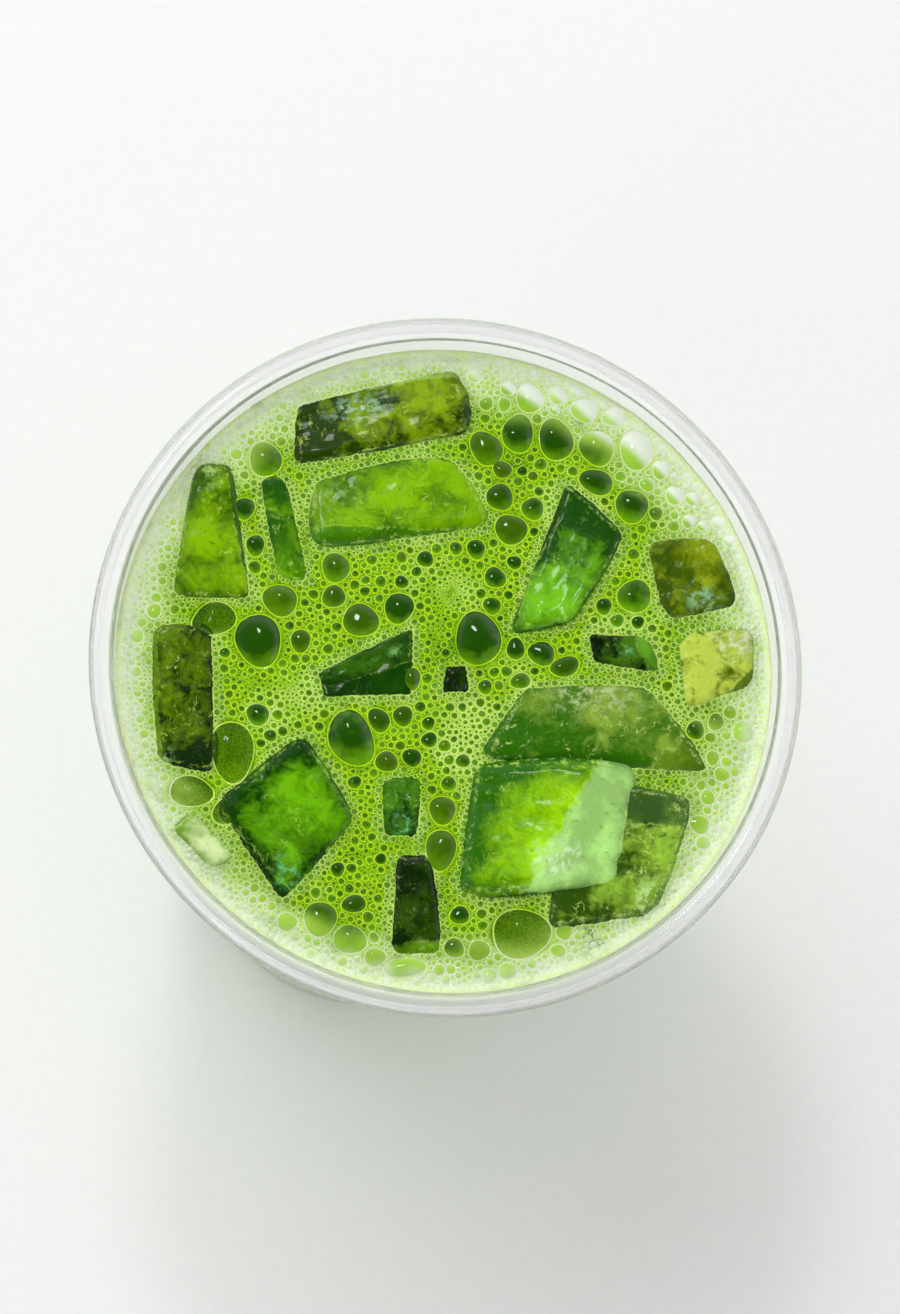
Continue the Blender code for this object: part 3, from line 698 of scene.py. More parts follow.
def cube_grid(n):
    """The cube from -1 to 1 with n by n faces a side: its points and its quads, facing out.

    Each side is a grid of two parameters, and points that sides share are made one.
    """
    steps = np.linspace(-1, 1, n + 1)
    u, v = (grid.ravel() for grid in np.meshgrid(steps, steps, indexing="ij"))
    cell = np.arange((n + 1) ** 2).reshape(n + 1, n + 1)
    quad = np.stack([cell[:-1, :-1], cell[1:, :-1], cell[1:, 1:], cell[:-1, 1:]], axis=-1).reshape(-1, 4)
    points, quads = [], []
    for axis in range(3):
        for side in (1.0, -1.0):
            point = np.empty((len(u), 3))
            point[:, axis] = side
            point[:, (axis + 1) % 3] = u
            point[:, (axis + 2) % 3] = v
            quads.append((quad if side > 0 else quad[:, ::-1]) + len(points) * len(u))
            points.append(point)
    keys = np.round(np.concatenate(points) * n).astype(int)
    _, first, index = np.unique(keys, axis=0, return_index=True, return_inverse=True)
    return np.concatenate(points)[first], index.reshape(-1)[np.concatenate(quads)]


@functools.lru_cache(maxsize=None)
def ice_surface(name):
    """One block's points in place, its places along, across and up, and its quads.

    Products of slow waves dent the melted cube towards its middle, and shorter waves chip it.
    """
    block, order = ICE[name], list(ICE).index(name)
    unit, quads = cube_grid(ICE_GRID)
    points, share = melted(unit, block, order)
    centre = points.mean(axis=0)
    look = bpy.context.scene.matcha_ice
    x, y, z = points.T
    dent = np.abs(ripple(x, y, look.dent_size, order) * ripple(y, z + x, look.dent_size, order + 50))
    chip = np.abs(ripple(x, y, look.chip_size, order + 70) + ripple(y, z - x, look.chip_size, order + 90))
    away = points - centre
    away /= np.linalg.norm(away, axis=1)[:, None]
    points = points - away * (dent * look.dents + chip * look.chips)[:, None]
    outward = np.hypot(points[:, 0], points[:, 1])
    points[:, :2] *= np.minimum(1.0, (inner_radius(points[:, 2]) - ICE_WALL_GAP) / outward)[:, None]
    return points, share, quads


def ice_outline(name):
    """The block's outline where the foam meets it, in plan and mm, as the hull of what stands proud."""
    points, _, _ = ice_surface(name)
    proud = points[points[:, 2] > drink().level + ICE_SHOWS_FROM, :2] / MM
    return proud[convex_hull_2d([tuple(spot) for spot in proud])]


def map_axes():
    """The map's spacing and its coordinates along each side, in mm."""
    span = math.ceil(inner_radius(drink().level) / MM) + 1
    return span, np.arange(-span, span + MAP_STEP / 2, MAP_STEP)


@functools.lru_cache(maxsize=1)
def ice_map():
    """How far each spot of a grid over the foam is from the nearest ice, and from the wall, in mm.

    Inside a convex outline the greatest distance past any of its edges is below zero.
    """
    _, axis = map_axes()
    far = np.full((len(axis), len(axis)), FAR_OFF, np.float32)
    for name in ICE:
        outline = ice_outline(name)
        edge = np.roll(outline, -1, axis=0) - outline
        edge_length = np.linalg.norm(edge, axis=1)
        keep = edge_length > 1e-6
        normal = np.stack([edge[:, 1], -edge[:, 0]], axis=1)[keep] / edge_length[keep, None]
        if ((outline.mean(axis=0) - outline[keep]) * normal).sum() > 0:
            normal = -normal
        offset = (outline[keep] * normal).sum(axis=1)
        low = np.searchsorted(axis, outline.min(axis=0) - MAP_MARGIN)
        high = np.searchsorted(axis, outline.max(axis=0) + MAP_MARGIN)
        x, y = np.meshgrid(axis[low[0]:high[0]], axis[low[1]:high[1]], indexing="ij")
        away = np.full(x.shape, -FAR_OFF, np.float32)
        for (nx, ny), reach in zip(normal, offset):
            np.maximum(away, x * nx + y * ny - reach, out=away)
        window = far[low[0]:high[0], low[1]:high[1]]
        np.minimum(window, away, out=window)
    x, y = np.meshgrid(axis, axis, indexing="ij")
    wall = inner_radius(drink().level) / MM - np.hypot(x, y)
    return far, wall.astype(np.float32)


def at_map(field, x, y):
    """The map's value at the nearest spot to each x, y in metres."""
    span, axis = map_axes()
    column = np.clip(np.rint((x / MM + span) / MAP_STEP).astype(int), 0, len(axis) - 1)
    row = np.clip(np.rint((y / MM + span) / MAP_STEP).astype(int), 0, len(axis) - 1)
    return field[column, row]


def foam_tone(x, y):
    """How pale (to 1) or dark (to -1) the foam is at x, y in mm.

    Listed patches and slow noise, with broken pale seams along the ice.
    """
    tone = ripples(x, y, TONE_RIPPLES)
    for px, py, reach, strength in FOAM_PATCHES:
        tone = tone + strength * np.exp(-((x - px) ** 2 + (y - py) ** 2) / (2 * (reach * 0.55) ** 2))
    ice = np.maximum(at_map(ice_map()[0], x * MM, y * MM), 0)
    tone = tone + (0.5 + 0.6 * ripple(x, y, 7.0, 24)) * np.exp(-ice / 0.9)
    for px, py, rx, ry, _ in FILM_BUBBLES:
        tone = tone - 0.25 * (ellipse_share(x - px, y - py, rx, ry) < 0.95)
    return np.clip(tone, -1, 1)


def edge_share(x, y):
    """From 0 to 1 in the palest ring, next to the wall."""
    return smooth_step(np.hypot(x, y) + 0.9 * ripple(x, y, 4.0, 25), *EDGE_RING)


def wall_share(x, y):
    """From 0 in the middle to 1 at the wall: the pale band is wider on the right-hand side."""
    radius = np.hypot(x, y)
    side = 0.5 + 0.5 * np.cos(np.arctan2(y, x) - PALE_SIDE)
    start, end = WALL_BAND
    return smooth_step(radius + 1.2 * ripple(x, y, 6.0, 23), start - 3.0 * side, end)


def stamp(room, axis, x, y, rx, ry, turn):
    """Lowers the map of free room round one bubble, taken as an ellipse."""
    span = -axis[0]
    reach = max(rx, ry) + STAMP_MARGIN
    low = np.maximum(((np.array((x, y)) - reach + span) / MAP_STEP).astype(int), 0)
    high = ((np.array((x, y)) + reach + span) / MAP_STEP).astype(int) + 1
    dx, dy = axis[low[0]:high[0], None] - x, axis[None, low[1]:high[1]] - y
    share = ellipse_share(dx, dy, rx, ry, turn)
    window = room[low[0]:high[0], low[1]:high[1]]
    np.minimum(window, (share - 1) * min(rx, ry), out=window)


@functools.lru_cache(maxsize=1)
def bubbles():
    """Every bubble as a row x, y, half width, half length in mm and a turn in radians.

    The wide ones come first. Beads then form along the ice, and smaller and smaller ones fill what
    room is left, each as large as its spot and its step allow. It also gives the row after the
    last bead.
    """
    far, wall = ice_map()
    _, axis = map_axes()
    room = np.minimum(far + BEAD_LAP, wall - WALL_ROOM)
    draw = np.random.default_rng(drink().seed)
    rows = []
    for x, y, rx, ry, turn in (*WIDE_BUBBLES, *FILM_BUBBLES):
        stamp(room, axis, x, y, rx * WIDE_ROOM, ry * WIDE_ROOM, math.radians(turn))
    rows += [(x, y, rx, ry, math.radians(turn)) for x, y, rx, ry, turn in WIDE_BUBBLES]

    def drop(allowed, smallest, largest, most):
        """Bubbles at random allowed spots, each as wide as the room there but no wider than largest."""
        spots = np.flatnonzero(allowed)
        draw.shuffle(spots)
        placed = 0
        for spot in spots:
            free = room.flat[spot]
            if free < smallest:
                continue
            size = min(free, largest)
            x, y = axis[spot // len(axis)], axis[spot % len(axis)]
            stretch = 1 + draw.uniform(0, 0.08)
            turn = draw.uniform(0, math.pi)
            rows.append((x, y, size / stretch, size, turn))
            stamp(room, axis, x, y, size, size, 0.0)
            placed += 1
            if placed == most:
                break

    small, large = BEAD
    for start, end, most in BEAD_BANDS:
        drop((far > start) & (far < end) & (room >= small), small, large, most)
    beads = len(rows)
    for smallest, largest, most in BUBBLE_STEPS:
        drop((room >= smallest) & (room <= largest), smallest, largest, most)
    return np.array(rows), beads


def dome_rings(kind, radius):
    """Each dome's rings, as shares of its radius and heights in mm: a round cap's, then its skirt's.

    The skirt has the rim's width, and is a low bead where the dome has any shares.
    """
    bead = np.array([(0.35, 0.35), (1.0, -0.6)] if kind.shares else [(1.0, -0.6)])
    inner = np.broadcast_to((*kind.shares, 1.0), (len(radius), len(kind.shares) + 1))
    low = math.sqrt(1 - DOME_STEEP**2)
    cap = (np.sqrt(1 - (DOME_STEEP * inner) ** 2) - low) / (1 - low) * kind.height * radius
    skirt = np.broadcast_to(bead[:, 1] * kind.rim, (len(radius), len(bead)))
    share = np.concatenate([inner, 1 + bead[:, 0] * kind.rim / radius], axis=1)
    return share, np.concatenate([cap, skirt], axis=1)


def dome_faces(count, rings, sides):
    """The triangles round each dome's top and the quads between its rings."""
    base = (np.arange(count) * (1 + rings * sides))[:, None, None]
    ring = 1 + np.arange(rings * sides).reshape(rings, sides)
    after = np.roll(ring, -1, axis=1)
    fan = np.stack([np.zeros(sides, int), ring[0], after[0]], axis=-1)
    quad = np.stack([ring[:-1], ring[1:], after[1:], after[:-1]], axis=-1).reshape(-1, 4)
    return [(base + fan).reshape(-1, 3), (base + quad).reshape(-1, 4)]


def domes(rows, kind, seed):
    """Many low domes as one surface: points, faces, cells, each dome's own two numbers and its size.

    A dome is a grid of share of the radius and angle, turned and drawn out to its ellipse. Its
    outline wavers by two slow sine waves. A cell is the place in the dome, from -1 to 1, and the
    distance in from its foot.
    """
    draw = np.random.default_rng(seed)
    count, sides = len(rows), kind.sides
    radius = np.sqrt(rows[:, 2] * rows[:, 3])[:, None]
    share, heights = dome_rings(kind, radius)
    rings = share.shape[1]
    angle = np.arange(sides) * math.tau / sides
    phase = draw.uniform(0, math.tau, (count, 2, 1))
    waver = np.sin(2 * angle + phase[:, 0]) * 0.5 + np.sin(3 * angle + phase[:, 1]) * 0.5
    out = share[:, :, None] * (1 + kind.wobble * waver)[:, None, :]
    rx, ry, turn = (column[:, None, None] for column in rows.T[2:])
    u, v = rx * out * np.cos(angle), ry * out * np.sin(angle)
    local = np.stack([u * np.cos(turn) - v * np.sin(turn), u * np.sin(turn) + v * np.cos(turn)], axis=-1)
    points = np.empty((count, 1 + rings * sides, 3))
    points[:, 0, :2] = rows[:, :2]
    points[:, 0, 2] = kind.height * radius[:, 0]
    points[:, 1:, :2] = local.reshape(count, -1, 2) + rows[:, None, :2]
    points[:, 1:, 2] = np.repeat(heights, sides, axis=1)
    points = points * MM
    points[:, :, 2] += drink().level + foam_rise(points[:, :, :2].reshape(-1, 2)).reshape(count, -1)
    cell = np.zeros((count, 1 + rings * sides, 3))
    cell[:, 1:, :2] = (local / radius[:, :, None, None]).reshape(count, -1, 2)
    cell[:, 0, 2] = radius[:, 0]
    cell[:, 1:, 2] = np.repeat((1 - share) * radius, sides, axis=1)
    own = np.repeat(draw.uniform(0, 1, (count, 2)), 1 + rings * sides, axis=0)
    size = np.repeat(radius[:, 0], 1 + rings * sides)
    return points.reshape(-1, 3), dome_faces(count, rings, sides), cell.reshape(-1, 3), own, size


def colour_bubbles(piece, points, cell, own, size, paler):
    """Keeps what the bubbles' material reads: tone, wall and the painted sheen's mask, and how dark each
    one is.
    """
    x, y = points[:, 0] / MM, points[:, 1] / MM
    wall = wall_share(x, y)
    # The painted sheen's mask: big bubbles by the wall at the upper right, where they would mirror the
    # light.
    side = np.cos(np.arctan2(y, x) - SHEEN_SIDE)
    painted_sheen = smooth_step(np.hypot(x, y), *SHEEN_RING) * smooth_step(side, 0.7, 0.9)
    painted_sheen = painted_sheen * smooth_step(size, 0.3, 0.9)
    # Larger bubbles are darker, those next to the wall and the beads paler.
    dark = 0.12 + 0.62 * smooth_step(size, 0.25, 1.4) + 0.5 * (own[:, 0] - 0.5) - 0.6 * wall - 0.12 * paler
    add_value(piece, "cell", cell)
    add_value(piece, "look", np.column_stack([np.clip(foam_tone(x, y) + paler, -1, 1), wall, painted_sheen]))
    add_value(piece, "own", np.column_stack([np.clip(dark, 0, 1), own[:, 1], edge_share(x, y)]))


def disc_grid(n):
    """A square grid of n by n faces laid over the unit disc: plan points, quads and the edge in order.

    The greater of the square's two coordinates becomes the radius, their ratio the angle.
    """
    steps = np.linspace(-1, 1, n + 1)
    a, b = np.meshgrid(steps, steps, indexing="ij")
    wide = np.abs(a) > np.abs(b)
    radius = np.where(wide, a, b)
    safe = np.where(radius == 0, 1, radius)
    angle = np.where(wide, math.pi / 4 * b / safe, math.pi / 2 - math.pi / 4 * a / safe)
    plan = np.stack([radius * np.cos(angle), radius * np.sin(angle)], axis=-1).reshape(-1, 2)
    cell = np.arange((n + 1) ** 2).reshape(n + 1, n + 1)
    quads = np.stack([cell[:-1, :-1], cell[1:, :-1], cell[1:, 1:], cell[:-1, 1:]], axis=-1).reshape(-1, 4)
    edge = np.concatenate([cell[:-1, 0], cell[-1, :-1], cell[:0:-1, -1], cell[0, :0:-1]])
    return plan, quads, edge


def foam_rise(xy):
    """How far above its level the foam stands: slow ripples, and its climb at the wall and the ice."""
    x, y = xy.T / MM
    far, wall = ice_map()
    ice, side = np.maximum(at_map(far, *xy.T), 0), np.maximum(at_map(wall, *xy.T), 0)
    rise = ripples(x, y, FOAM_RIPPLES) + ICE_CLIMB * np.exp(-ice / ICE_CLIMB_REACH)
    return rise * MM + drink().meniscus * np.exp(-((side / 0.6) ** 1.2))


def foam_surface():
    """The foam's body: a height over each spot of the disc, a side inside the wall and a flat bottom.

    The height is the level and the foam's rise, less the hollows under film bubbles and in the ice.
    """
    fill = drink()
    plan, quads, edge = disc_grid(fill.grid)
    reach = inner_radius(fill.level + fill.meniscus) + fill.bite
    xy = plan * reach
    x, y = xy[:, 0] / MM, xy[:, 1] / MM
    ice = at_map(ice_map()[0], *xy.T)
    height = fill.level + foam_rise(xy) - ICE_DIP * smooth_step(-ice, 0.25, 1.0)
    for px, py, rx, ry, turn in FILM_BUBBLES:
        share = ellipse_share(x - px, y - py, rx, ry, math.radians(turn))
        height -= FILM_DIP * min(rx, ry) * MM * np.sqrt(np.clip(1 - share**2, 0, 1))
    bottom = fill.level - fill.foam_depth
    low = inner_radius(bottom) + fill.bite
    under = np.column_stack([plan[edge] * low, np.full(len(edge), bottom)])
    points = np.concatenate([np.column_stack([xy, height]), under, [(0, 0, bottom)]])
    ring = len(xy) + np.arange(len(edge))
    after, edge_after = np.roll(ring, -1), np.roll(edge, -1)
    sides = np.stack([edge, ring, after, edge_after], axis=-1)
    fan = np.stack([after, ring, np.full(len(edge), len(points) - 1)], axis=-1)
    return points, [quads, sides, fan]


def feed(tree, socket, value):
    """Links an input socket to another node's output, or sets it to a plain value."""
    if isinstance(value, bpy.types.NodeSocket):
        tree.links.new(value, socket)
    else:
        socket.default_value = value


def make_node(tree, kind, inputs=None, **values):
    """Adds a node, sets its values, and feeds its inputs."""
    made = tree.nodes.new(kind)
    for key, value in values.items():
        setattr(made, key, value)
    for key, value in (inputs or {}).items():
        feed(tree, made.inputs[key], value)
    return made


def maths(tree, operation, *values):
    """A Math node's result."""
    return make_node(tree, "ShaderNodeMath", dict(enumerate(values)), operation=operation).outputs[0]


def product(tree, first, *others):
    """These values times each other."""
    for other in others:
        first = maths(tree, "MULTIPLY", first, other)
    return first


def total(tree, first, *others):
    """The sum of these values."""
    for other in others:
        first = maths(tree, "ADD", first, other)
    return first


def vector_maths(tree, operation, *values):
    """A Vector Math node's result: a number for a length or a dot product, else a vector."""
    made = make_node(tree, "ShaderNodeVectorMath", dict(enumerate(values)), operation=operation)
    return made.outputs["Value" if operation in ("LENGTH", "DOT_PRODUCT") else "Vector"]


def split(tree, vector):
    """A vector's three parts."""
    return make_node(tree, "ShaderNodeSeparateXYZ", {0: vector}).outputs


def level_part(tree, vector):
    """A vector without its upright part."""
    return vector_maths(tree, "MULTIPLY", vector, (1, 1, 0))


def blend(tree, share, first, second, mode="MIX"):
    """One colour at share 0 and the other at share 1."""
    made = make_node(tree, "ShaderNodeMix", data_type="RGBA", blend_type=mode, clamp_factor=True)
    for index, value in ((0, share), (6, first), (7, second)):
        feed(tree, made.inputs[index], value)
    return made.outputs[2]


def layered(tree, base, *layers):
    """The base colour with each layer, a share and a colour, blended over it in turn."""
    for share, tint in layers:
        base = blend(tree, share, base, tint)
    return base


def between(tree, value, low, high, low_to=0.0, high_to=1.0, smooth=True):
    """A Map Range node's result."""
    made = make_node(
        tree, "ShaderNodeMapRange",
        {"Value": value, "From Min": low, "From Max": high, "To Min": low_to, "To Max": high_to},
        interpolation_type="SMOOTHSTEP" if smooth else "LINEAR",
    )
    return made.outputs[0]


def line_at(tree, value, middle, width):
    """1 where the value is at the middle, down to 0 at this width either side of it."""
    off = maths(tree, "ABSOLUTE", maths(tree, "SUBTRACT", value, middle))
    return between(tree, off, width, 0.0)


def noise(tree, vector, scale, detail=3.0, roughness=0.5, output="Fac"):
    """A Noise texture's result."""
    made = make_node(
        tree, "ShaderNodeTexNoise",
        {"Vector": vector, "Scale": scale, "Detail": detail, "Roughness": roughness},
    )
    return made.outputs[output]


def warped(tree, place, where, scale, detail, reach):
    """The place pushed about by noise, by up to half the reach to either side."""
    push = noise(tree, where, scale, detail, output="Color")
    push = vector_maths(tree, "MULTIPLY_ADD", push, reach, tuple(-part / 2 for part in reach))
    return vector_maths(tree, "ADD", place, push)


def stored(tree, name, output="Fac"):
    """What a piece keeps under this name for each of its points."""
    return make_node(tree, "ShaderNodeAttribute", attribute_name=name).outputs[output]


def place_mm(tree):
    """Object coordinates, in mm."""
    place = make_node(tree, "ShaderNodeTexCoord").outputs["Object"]
    larger = make_node(tree, "ShaderNodeVectorMath", {0: place, "Scale": 1 / MM}, operation="SCALE")
    return larger.outputs[0]


def new_group(name, inputs, outputs):
    """A shader node group with these named sockets, and its own input and output nodes."""
    tree = bpy.data.node_groups.new(name, "ShaderNodeTree")
    for label, kind in inputs:
        tree.interface.new_socket(label, in_out="INPUT", socket_type=kind)
    for label, kind in outputs:
        tree.interface.new_socket(label, in_out="OUTPUT", socket_type=kind)
    return tree, tree.nodes.new("NodeGroupInput").outputs, tree.nodes.new("NodeGroupOutput").inputs


def use_group(tree, group, inputs):
    """Places a node group in a material's tree and gives back its outputs."""
    made = make_node(tree, "ShaderNodeGroup", node_tree=group)
    for key, value in inputs.items():
        feed(tree, made.inputs[key], value)
    return made.outputs


FLOAT, VECTOR, COLOUR = "NodeSocketFloat", "NodeSocketVector", "NodeSocketColor"


@functools.lru_cache(maxsize=None)
def froth_group():
    """Froth too fine to model: cells of two sizes, bright along their edges."""
    tree, given, result = new_group(
        "froth",
        [("Place", VECTOR), ("Size", FLOAT), ("Edge", FLOAT)],
        [("Web", FLOAT), ("Height", FLOAT)],
    )
    warp = noise(tree, given["Place"], 1.3, 2.0, output="Color")
    place = vector_maths(tree, "MULTIPLY_ADD", warp, (0.35, 0.35, 0.35), given["Place"])
    webs, heights = [], []
    for share in (1.0, 0.52):
        scale = maths(tree, "DIVIDE", 1.0 / share, given["Size"])
        cells = make_node(
            tree, "ShaderNodeTexVoronoi", {"Vector": place, "Scale": scale, "Randomness": 1.0},
            feature="DISTANCE_TO_EDGE",
        ).outputs["Distance"]
        webs.append(between(tree, cells, given["Edge"], 0.0))
        heights.append(between(tree, cells, 0.0, 0.3))
    feed(tree, result["Web"], maths(tree, "MAXIMUM", webs[0], product(tree, webs[1], 0.7)))
    feed(tree, result["Height"], total(tree, heights[0], product(tree, heights[1], 0.5)))
    return tree


@functools.lru_cache(maxsize=None)
def bubble_group():
    """A bubble's colour from its middle to its rim: dark, then greener, then a thin bright line. Its lower
    side is painted lighter as painted light, and bubbles by the wall get a painted sheen.
    """
    tree, given, result = new_group(
        "bubble",
        [
            ("Cell", VECTOR), ("Look", VECTOR), ("Own", VECTOR), ("Place", VECTOR), ("Rim Width", FLOAT),
            ("Dark", COLOUR), ("Edge", COLOUR), ("Olive", COLOUR), ("Rim", COLOUR), ("Pale", COLOUR),
            ("Wall Inside", COLOUR), ("Pearl", COLOUR),
        ],
        [("Color", COLOUR), ("Rim", FLOAT)],
    )
    right, up, inwards = split(tree, given["Cell"])
    tone, wall, painted_sheen = split(tree, given["Look"])
    dark, olive, edge = split(tree, given["Own"])
    share = vector_maths(tree, "LENGTH", level_part(tree, given["Cell"]))
    # Painted light: lower makes each bubble lighter on its lower side, more so towards its rim, as if light
    # from the upper side shone through it.
    lower = between(tree, up, 0.4, -0.9)
    # upper is the side of a bubble where the painted sheen goes.
    upper = between(tree, total(tree, up, right), -0.8, 0.2)
    paler, darker = between(tree, tone, 0.0, 0.9), between(tree, tone, 0.0, -0.8)
    grade = total(
        tree, maths(tree, "MULTIPLY_ADD", dark, -1.0, 0.62),
        product(tree, between(tree, share, 0.3, 0.95), 0.16),
        product(tree, lower, share, 0.75),
        maths(tree, "MULTIPLY_ADD", noise(tree, given["Place"], 0.9, 3.0), 0.9, -0.45),
        product(tree, paler, 0.1),
        product(tree, darker, -0.4),
    )
    inside = layered(
        tree, given["Dark"],
        (grade, given["Edge"]),
        (product(tree, between(tree, olive, 0.5, 1.0), 0.5), given["Olive"]),
        (product(tree, wall, 0.85), given["Wall Inside"]),
        # Painted sheen on bubbles in the palest ring and on the upper side of big ones by the wall.
        (product(tree, edge, 0.6), given["Pearl"]),
        (product(tree, upper, painted_sheen, 0.95), given["Pearl"]),
    )
    # The bright rim line, with the painted sheen's white by the wall.
    line = layered(
        tree, given["Rim"],
        (paler, given["Pale"]), (wall, given["Pearl"]), (product(tree, darker, 0.6), given["Edge"]),
    )
    rim = between(tree, inwards, given["Rim Width"], product(tree, given["Rim Width"], 0.35))
    feed(tree, result["Color"], blend(tree, rim, inside, line))
    feed(tree, result["Rim"], rim)
    return tree


@functools.lru_cache(maxsize=None)
def ice_group():
    """Wet ice over green tea: two greens, another face, frosty patches, specks, rings and streaks. The
    streaks and rings are partly painted highlight.
    """
    tree, given, result = new_group(
        "ice_paint",
        [
            ("Block", VECTOR), ("Place", VECTOR), ("Deep", COLOUR), ("Lit", COLOUR), ("Frost", COLOUR),
            ("Face", COLOUR), ("Way", VECTOR), ("Shift", FLOAT), ("Frost At", VECTOR),
            ("Frost Reach", FLOAT), ("Face Way", VECTOR), ("Face From", FLOAT), ("Specks", FLOAT),
            ("Streaks", FLOAT), ("Rime", FLOAT), ("Edge Dark", FLOAT), ("Core", FLOAT), ("Marble", FLOAT),
            ("Glint", COLOUR),
        ],
        [("Color", COLOUR), ("Roughness", FLOAT), ("Height", FLOAT)],
    )
    place, deep, glint = given["Place"], given["Deep"], given["Glint"]
    flat = level_part(tree, given["Block"])
    bent = warped(tree, place, place, 0.25, 4.0, (5, 5, 5))
    spot = warped(tree, flat, place, 0.5, 3.0, (0.3, 0.3, 0))
    slow, fine = noise(tree, bent, 0.15, 4.0, 0.6), noise(tree, bent, 1.2, 5.0, 0.65)
    broken = noise(tree, place, 0.8, 6.0, 0.72)
    # From 0 in the block's middle to 1 at its edges.
    along, across, _ = split(tree, flat)
    outer = maths(tree, "MAXIMUM", maths(tree, "ABSOLUTE", along), maths(tree, "ABSOLUTE", across))
    outer = total(tree, outer, maths(tree, "MULTIPLY_ADD", fine, 0.16, -0.08))
    # The two greens, by side, cloud and middle.
    way = vector_maths(tree, "DOT_PRODUCT", spot, given["Way"])
    grade = total(
        tree, maths(tree, "MULTIPLY_ADD", way, 0.5, 0.4), given["Shift"],
        product(tree, between(tree, slow, 0.34, 0.66, -0.4, 0.4), given["Marble"]),
        product(tree, between(tree, outer, 0.95, 0.35, -0.5, 0.5), given["Core"]),
        maths(tree, "MULTIPLY_ADD", fine, 0.6, -0.3),
    )
    base = blend(tree, grade, deep, given["Lit"])
    # The other face beyond its crest.
    beyond = vector_maths(tree, "DOT_PRODUCT", spot, given["Face Way"])
    beyond = maths(tree, "SUBTRACT", beyond, given["Face From"])
    shade = between(tree, slow, 0.35, 0.65, 0.72, 1.2)
    shade = make_node(tree, "ShaderNodeCombineColor", {0: shade, 1: shade, 2: shade}).outputs[0]
    face = blend(tree, 1.0, given["Face"], shade, "MULTIPLY")
    base = blend(tree, between(tree, beyond, -0.05, 0.09, 0.0, 0.92), base, face)
    # Darker edges, where the cloud lets them show.
    dusk = product(
        tree, between(tree, outer, 0.72, 0.97), given["Edge Dark"],
        between(tree, slow, 0.62, 0.4, 0.25, 1.0),
    )
    base = blend(tree, dusk, base, blend(tree, 0.75, base, deep))
    # Frost in its patch, rime at the edges, specks, streaks, the crest's seam and dark hollows. The streaks
    # and the seam take the glint colour and are partly painted highlight.
    away = vector_maths(tree, "LENGTH", vector_maths(tree, "SUBTRACT", spot, given["Frost At"]))
    frost = product(
        tree, between(tree, away, given["Frost Reach"], 0.0), between(tree, broken, 0.46, 0.58)
    )
    rime = product(
        tree, between(tree, outer, 0.82, 0.98), between(tree, broken, 0.52, 0.62), given["Rime"]
    )
    cells = make_node(tree, "ShaderNodeTexVoronoi", {"Vector": place, "Scale": 1.6}, feature="F1")
    specks = product(
        tree, between(tree, cells.outputs["Distance"], 0.2, 0.08), between(tree, slow, 0.47, 0.57),
        given["Specks"],
    )
    strokes = noise(tree, vector_maths(tree, "MULTIPLY", bent, (1.0, 0.75, 1.0)), 0.55, 3.0)
    streaks = product(
        tree, line_at(tree, strokes, 0.5, 0.022), between(tree, broken, 0.46, 0.58),
        between(tree, noise(tree, place, 0.2, 3.0), 0.48, 0.6), given["Streaks"],
    )
    seam = product(tree, line_at(tree, beyond, 0.0, 0.035), between(tree, fine, 0.42, 0.58, 0.0, 0.4))
    hollow = product(
        tree, between(tree, noise(tree, bent, 0.9, 3.0), 0.62, 0.7), given["Streaks"], 0.7
    )
    marks = maths(tree, "MAXIMUM", specks, maths(tree, "MAXIMUM", streaks, seam))
    # A bright line just inside the outline, partly a painted highlight of the wet edge, and a dark one
    # along it.
    ring = product(tree, line_at(tree, outer, 0.87, 0.035), between(tree, broken, 0.47, 0.6, 0.0, 0.6))
    rim = product(tree, between(tree, outer, 0.94, 0.985), between(tree, broken, 0.36, 0.5, 0.2, 0.9))
    base = layered(tree, base, (hollow, deep), (marks, glint), (ring, glint))
    base = blend(tree, rim, base, blend(tree, 1.0, base, ICE_RIM_TINT, "MULTIPLY"))
    bright = maths(tree, "MAXIMUM", frost, rime)
    feed(tree, result["Color"], blend(tree, bright, base, given["Frost"]))
    feed(tree, result["Roughness"], between(tree, bright, 0.0, 1.0, 0.14, 0.4, smooth=False))
    heights = (product(tree, fine, 0.5), product(tree, slow, 1.2), product(tree, bright, 0.3))
    feed(tree, result["Height"], total(tree, *heights))
    return tree


def new_material(name, links, values):
    """A material of one Principled shader.

    links gives the inputs that nodes paint, by label, and values those that are even all over.
    """
    made = bpy.data.materials.new(name)
    made.use_nodes = True
    tree = made.node_tree
    shader = tree.nodes["Principled BSDF"]
    for key, value in {**links(tree), **values}.items():
        feed(tree, shader.inputs[key], value)
    return made


def bumped(tree, height, depth):
    """A normal from a height of 0 to 1 that stands for this depth in metres."""
    return make_node(tree, "ShaderNodeBump", {"Height": height, "Distance": depth}).outputs[0]


def plastic_material():
    """Thin clear plastic with faint rings from its forming and a slightly uneven polish, and a painted
    shade line of grey round the lip's outer edge.
    """

    def links(tree):
        place = place_mm(tree)
        radius = vector_maths(tree, "LENGTH", level_part(tree, place))
        rim = cup().rim_radius / MM
        # Painted shade: a thin grey line round the lip's outer edge.
        painted_edge_shade = between(tree, radius, rim - LIP_LINE[0], rim - LIP_LINE[1])
        clear = blend(tree, noise(tree, place, 0.06), CLEAR_DULL, CLEAR)
        return {
            "Base Color": blend(tree, painted_edge_shade, clear, LIP_SHADE_GREY),
            "Roughness": between(tree, noise(tree, place, 0.1, 3.0), 0.3, 0.8, 0.0, 0.006),
            "Normal": bumped(tree, noise(tree, place, 0.04, 1.0), PLASTIC_RELIEF),
        }

    return new_material("clear_plastic", links, PLASTIC)


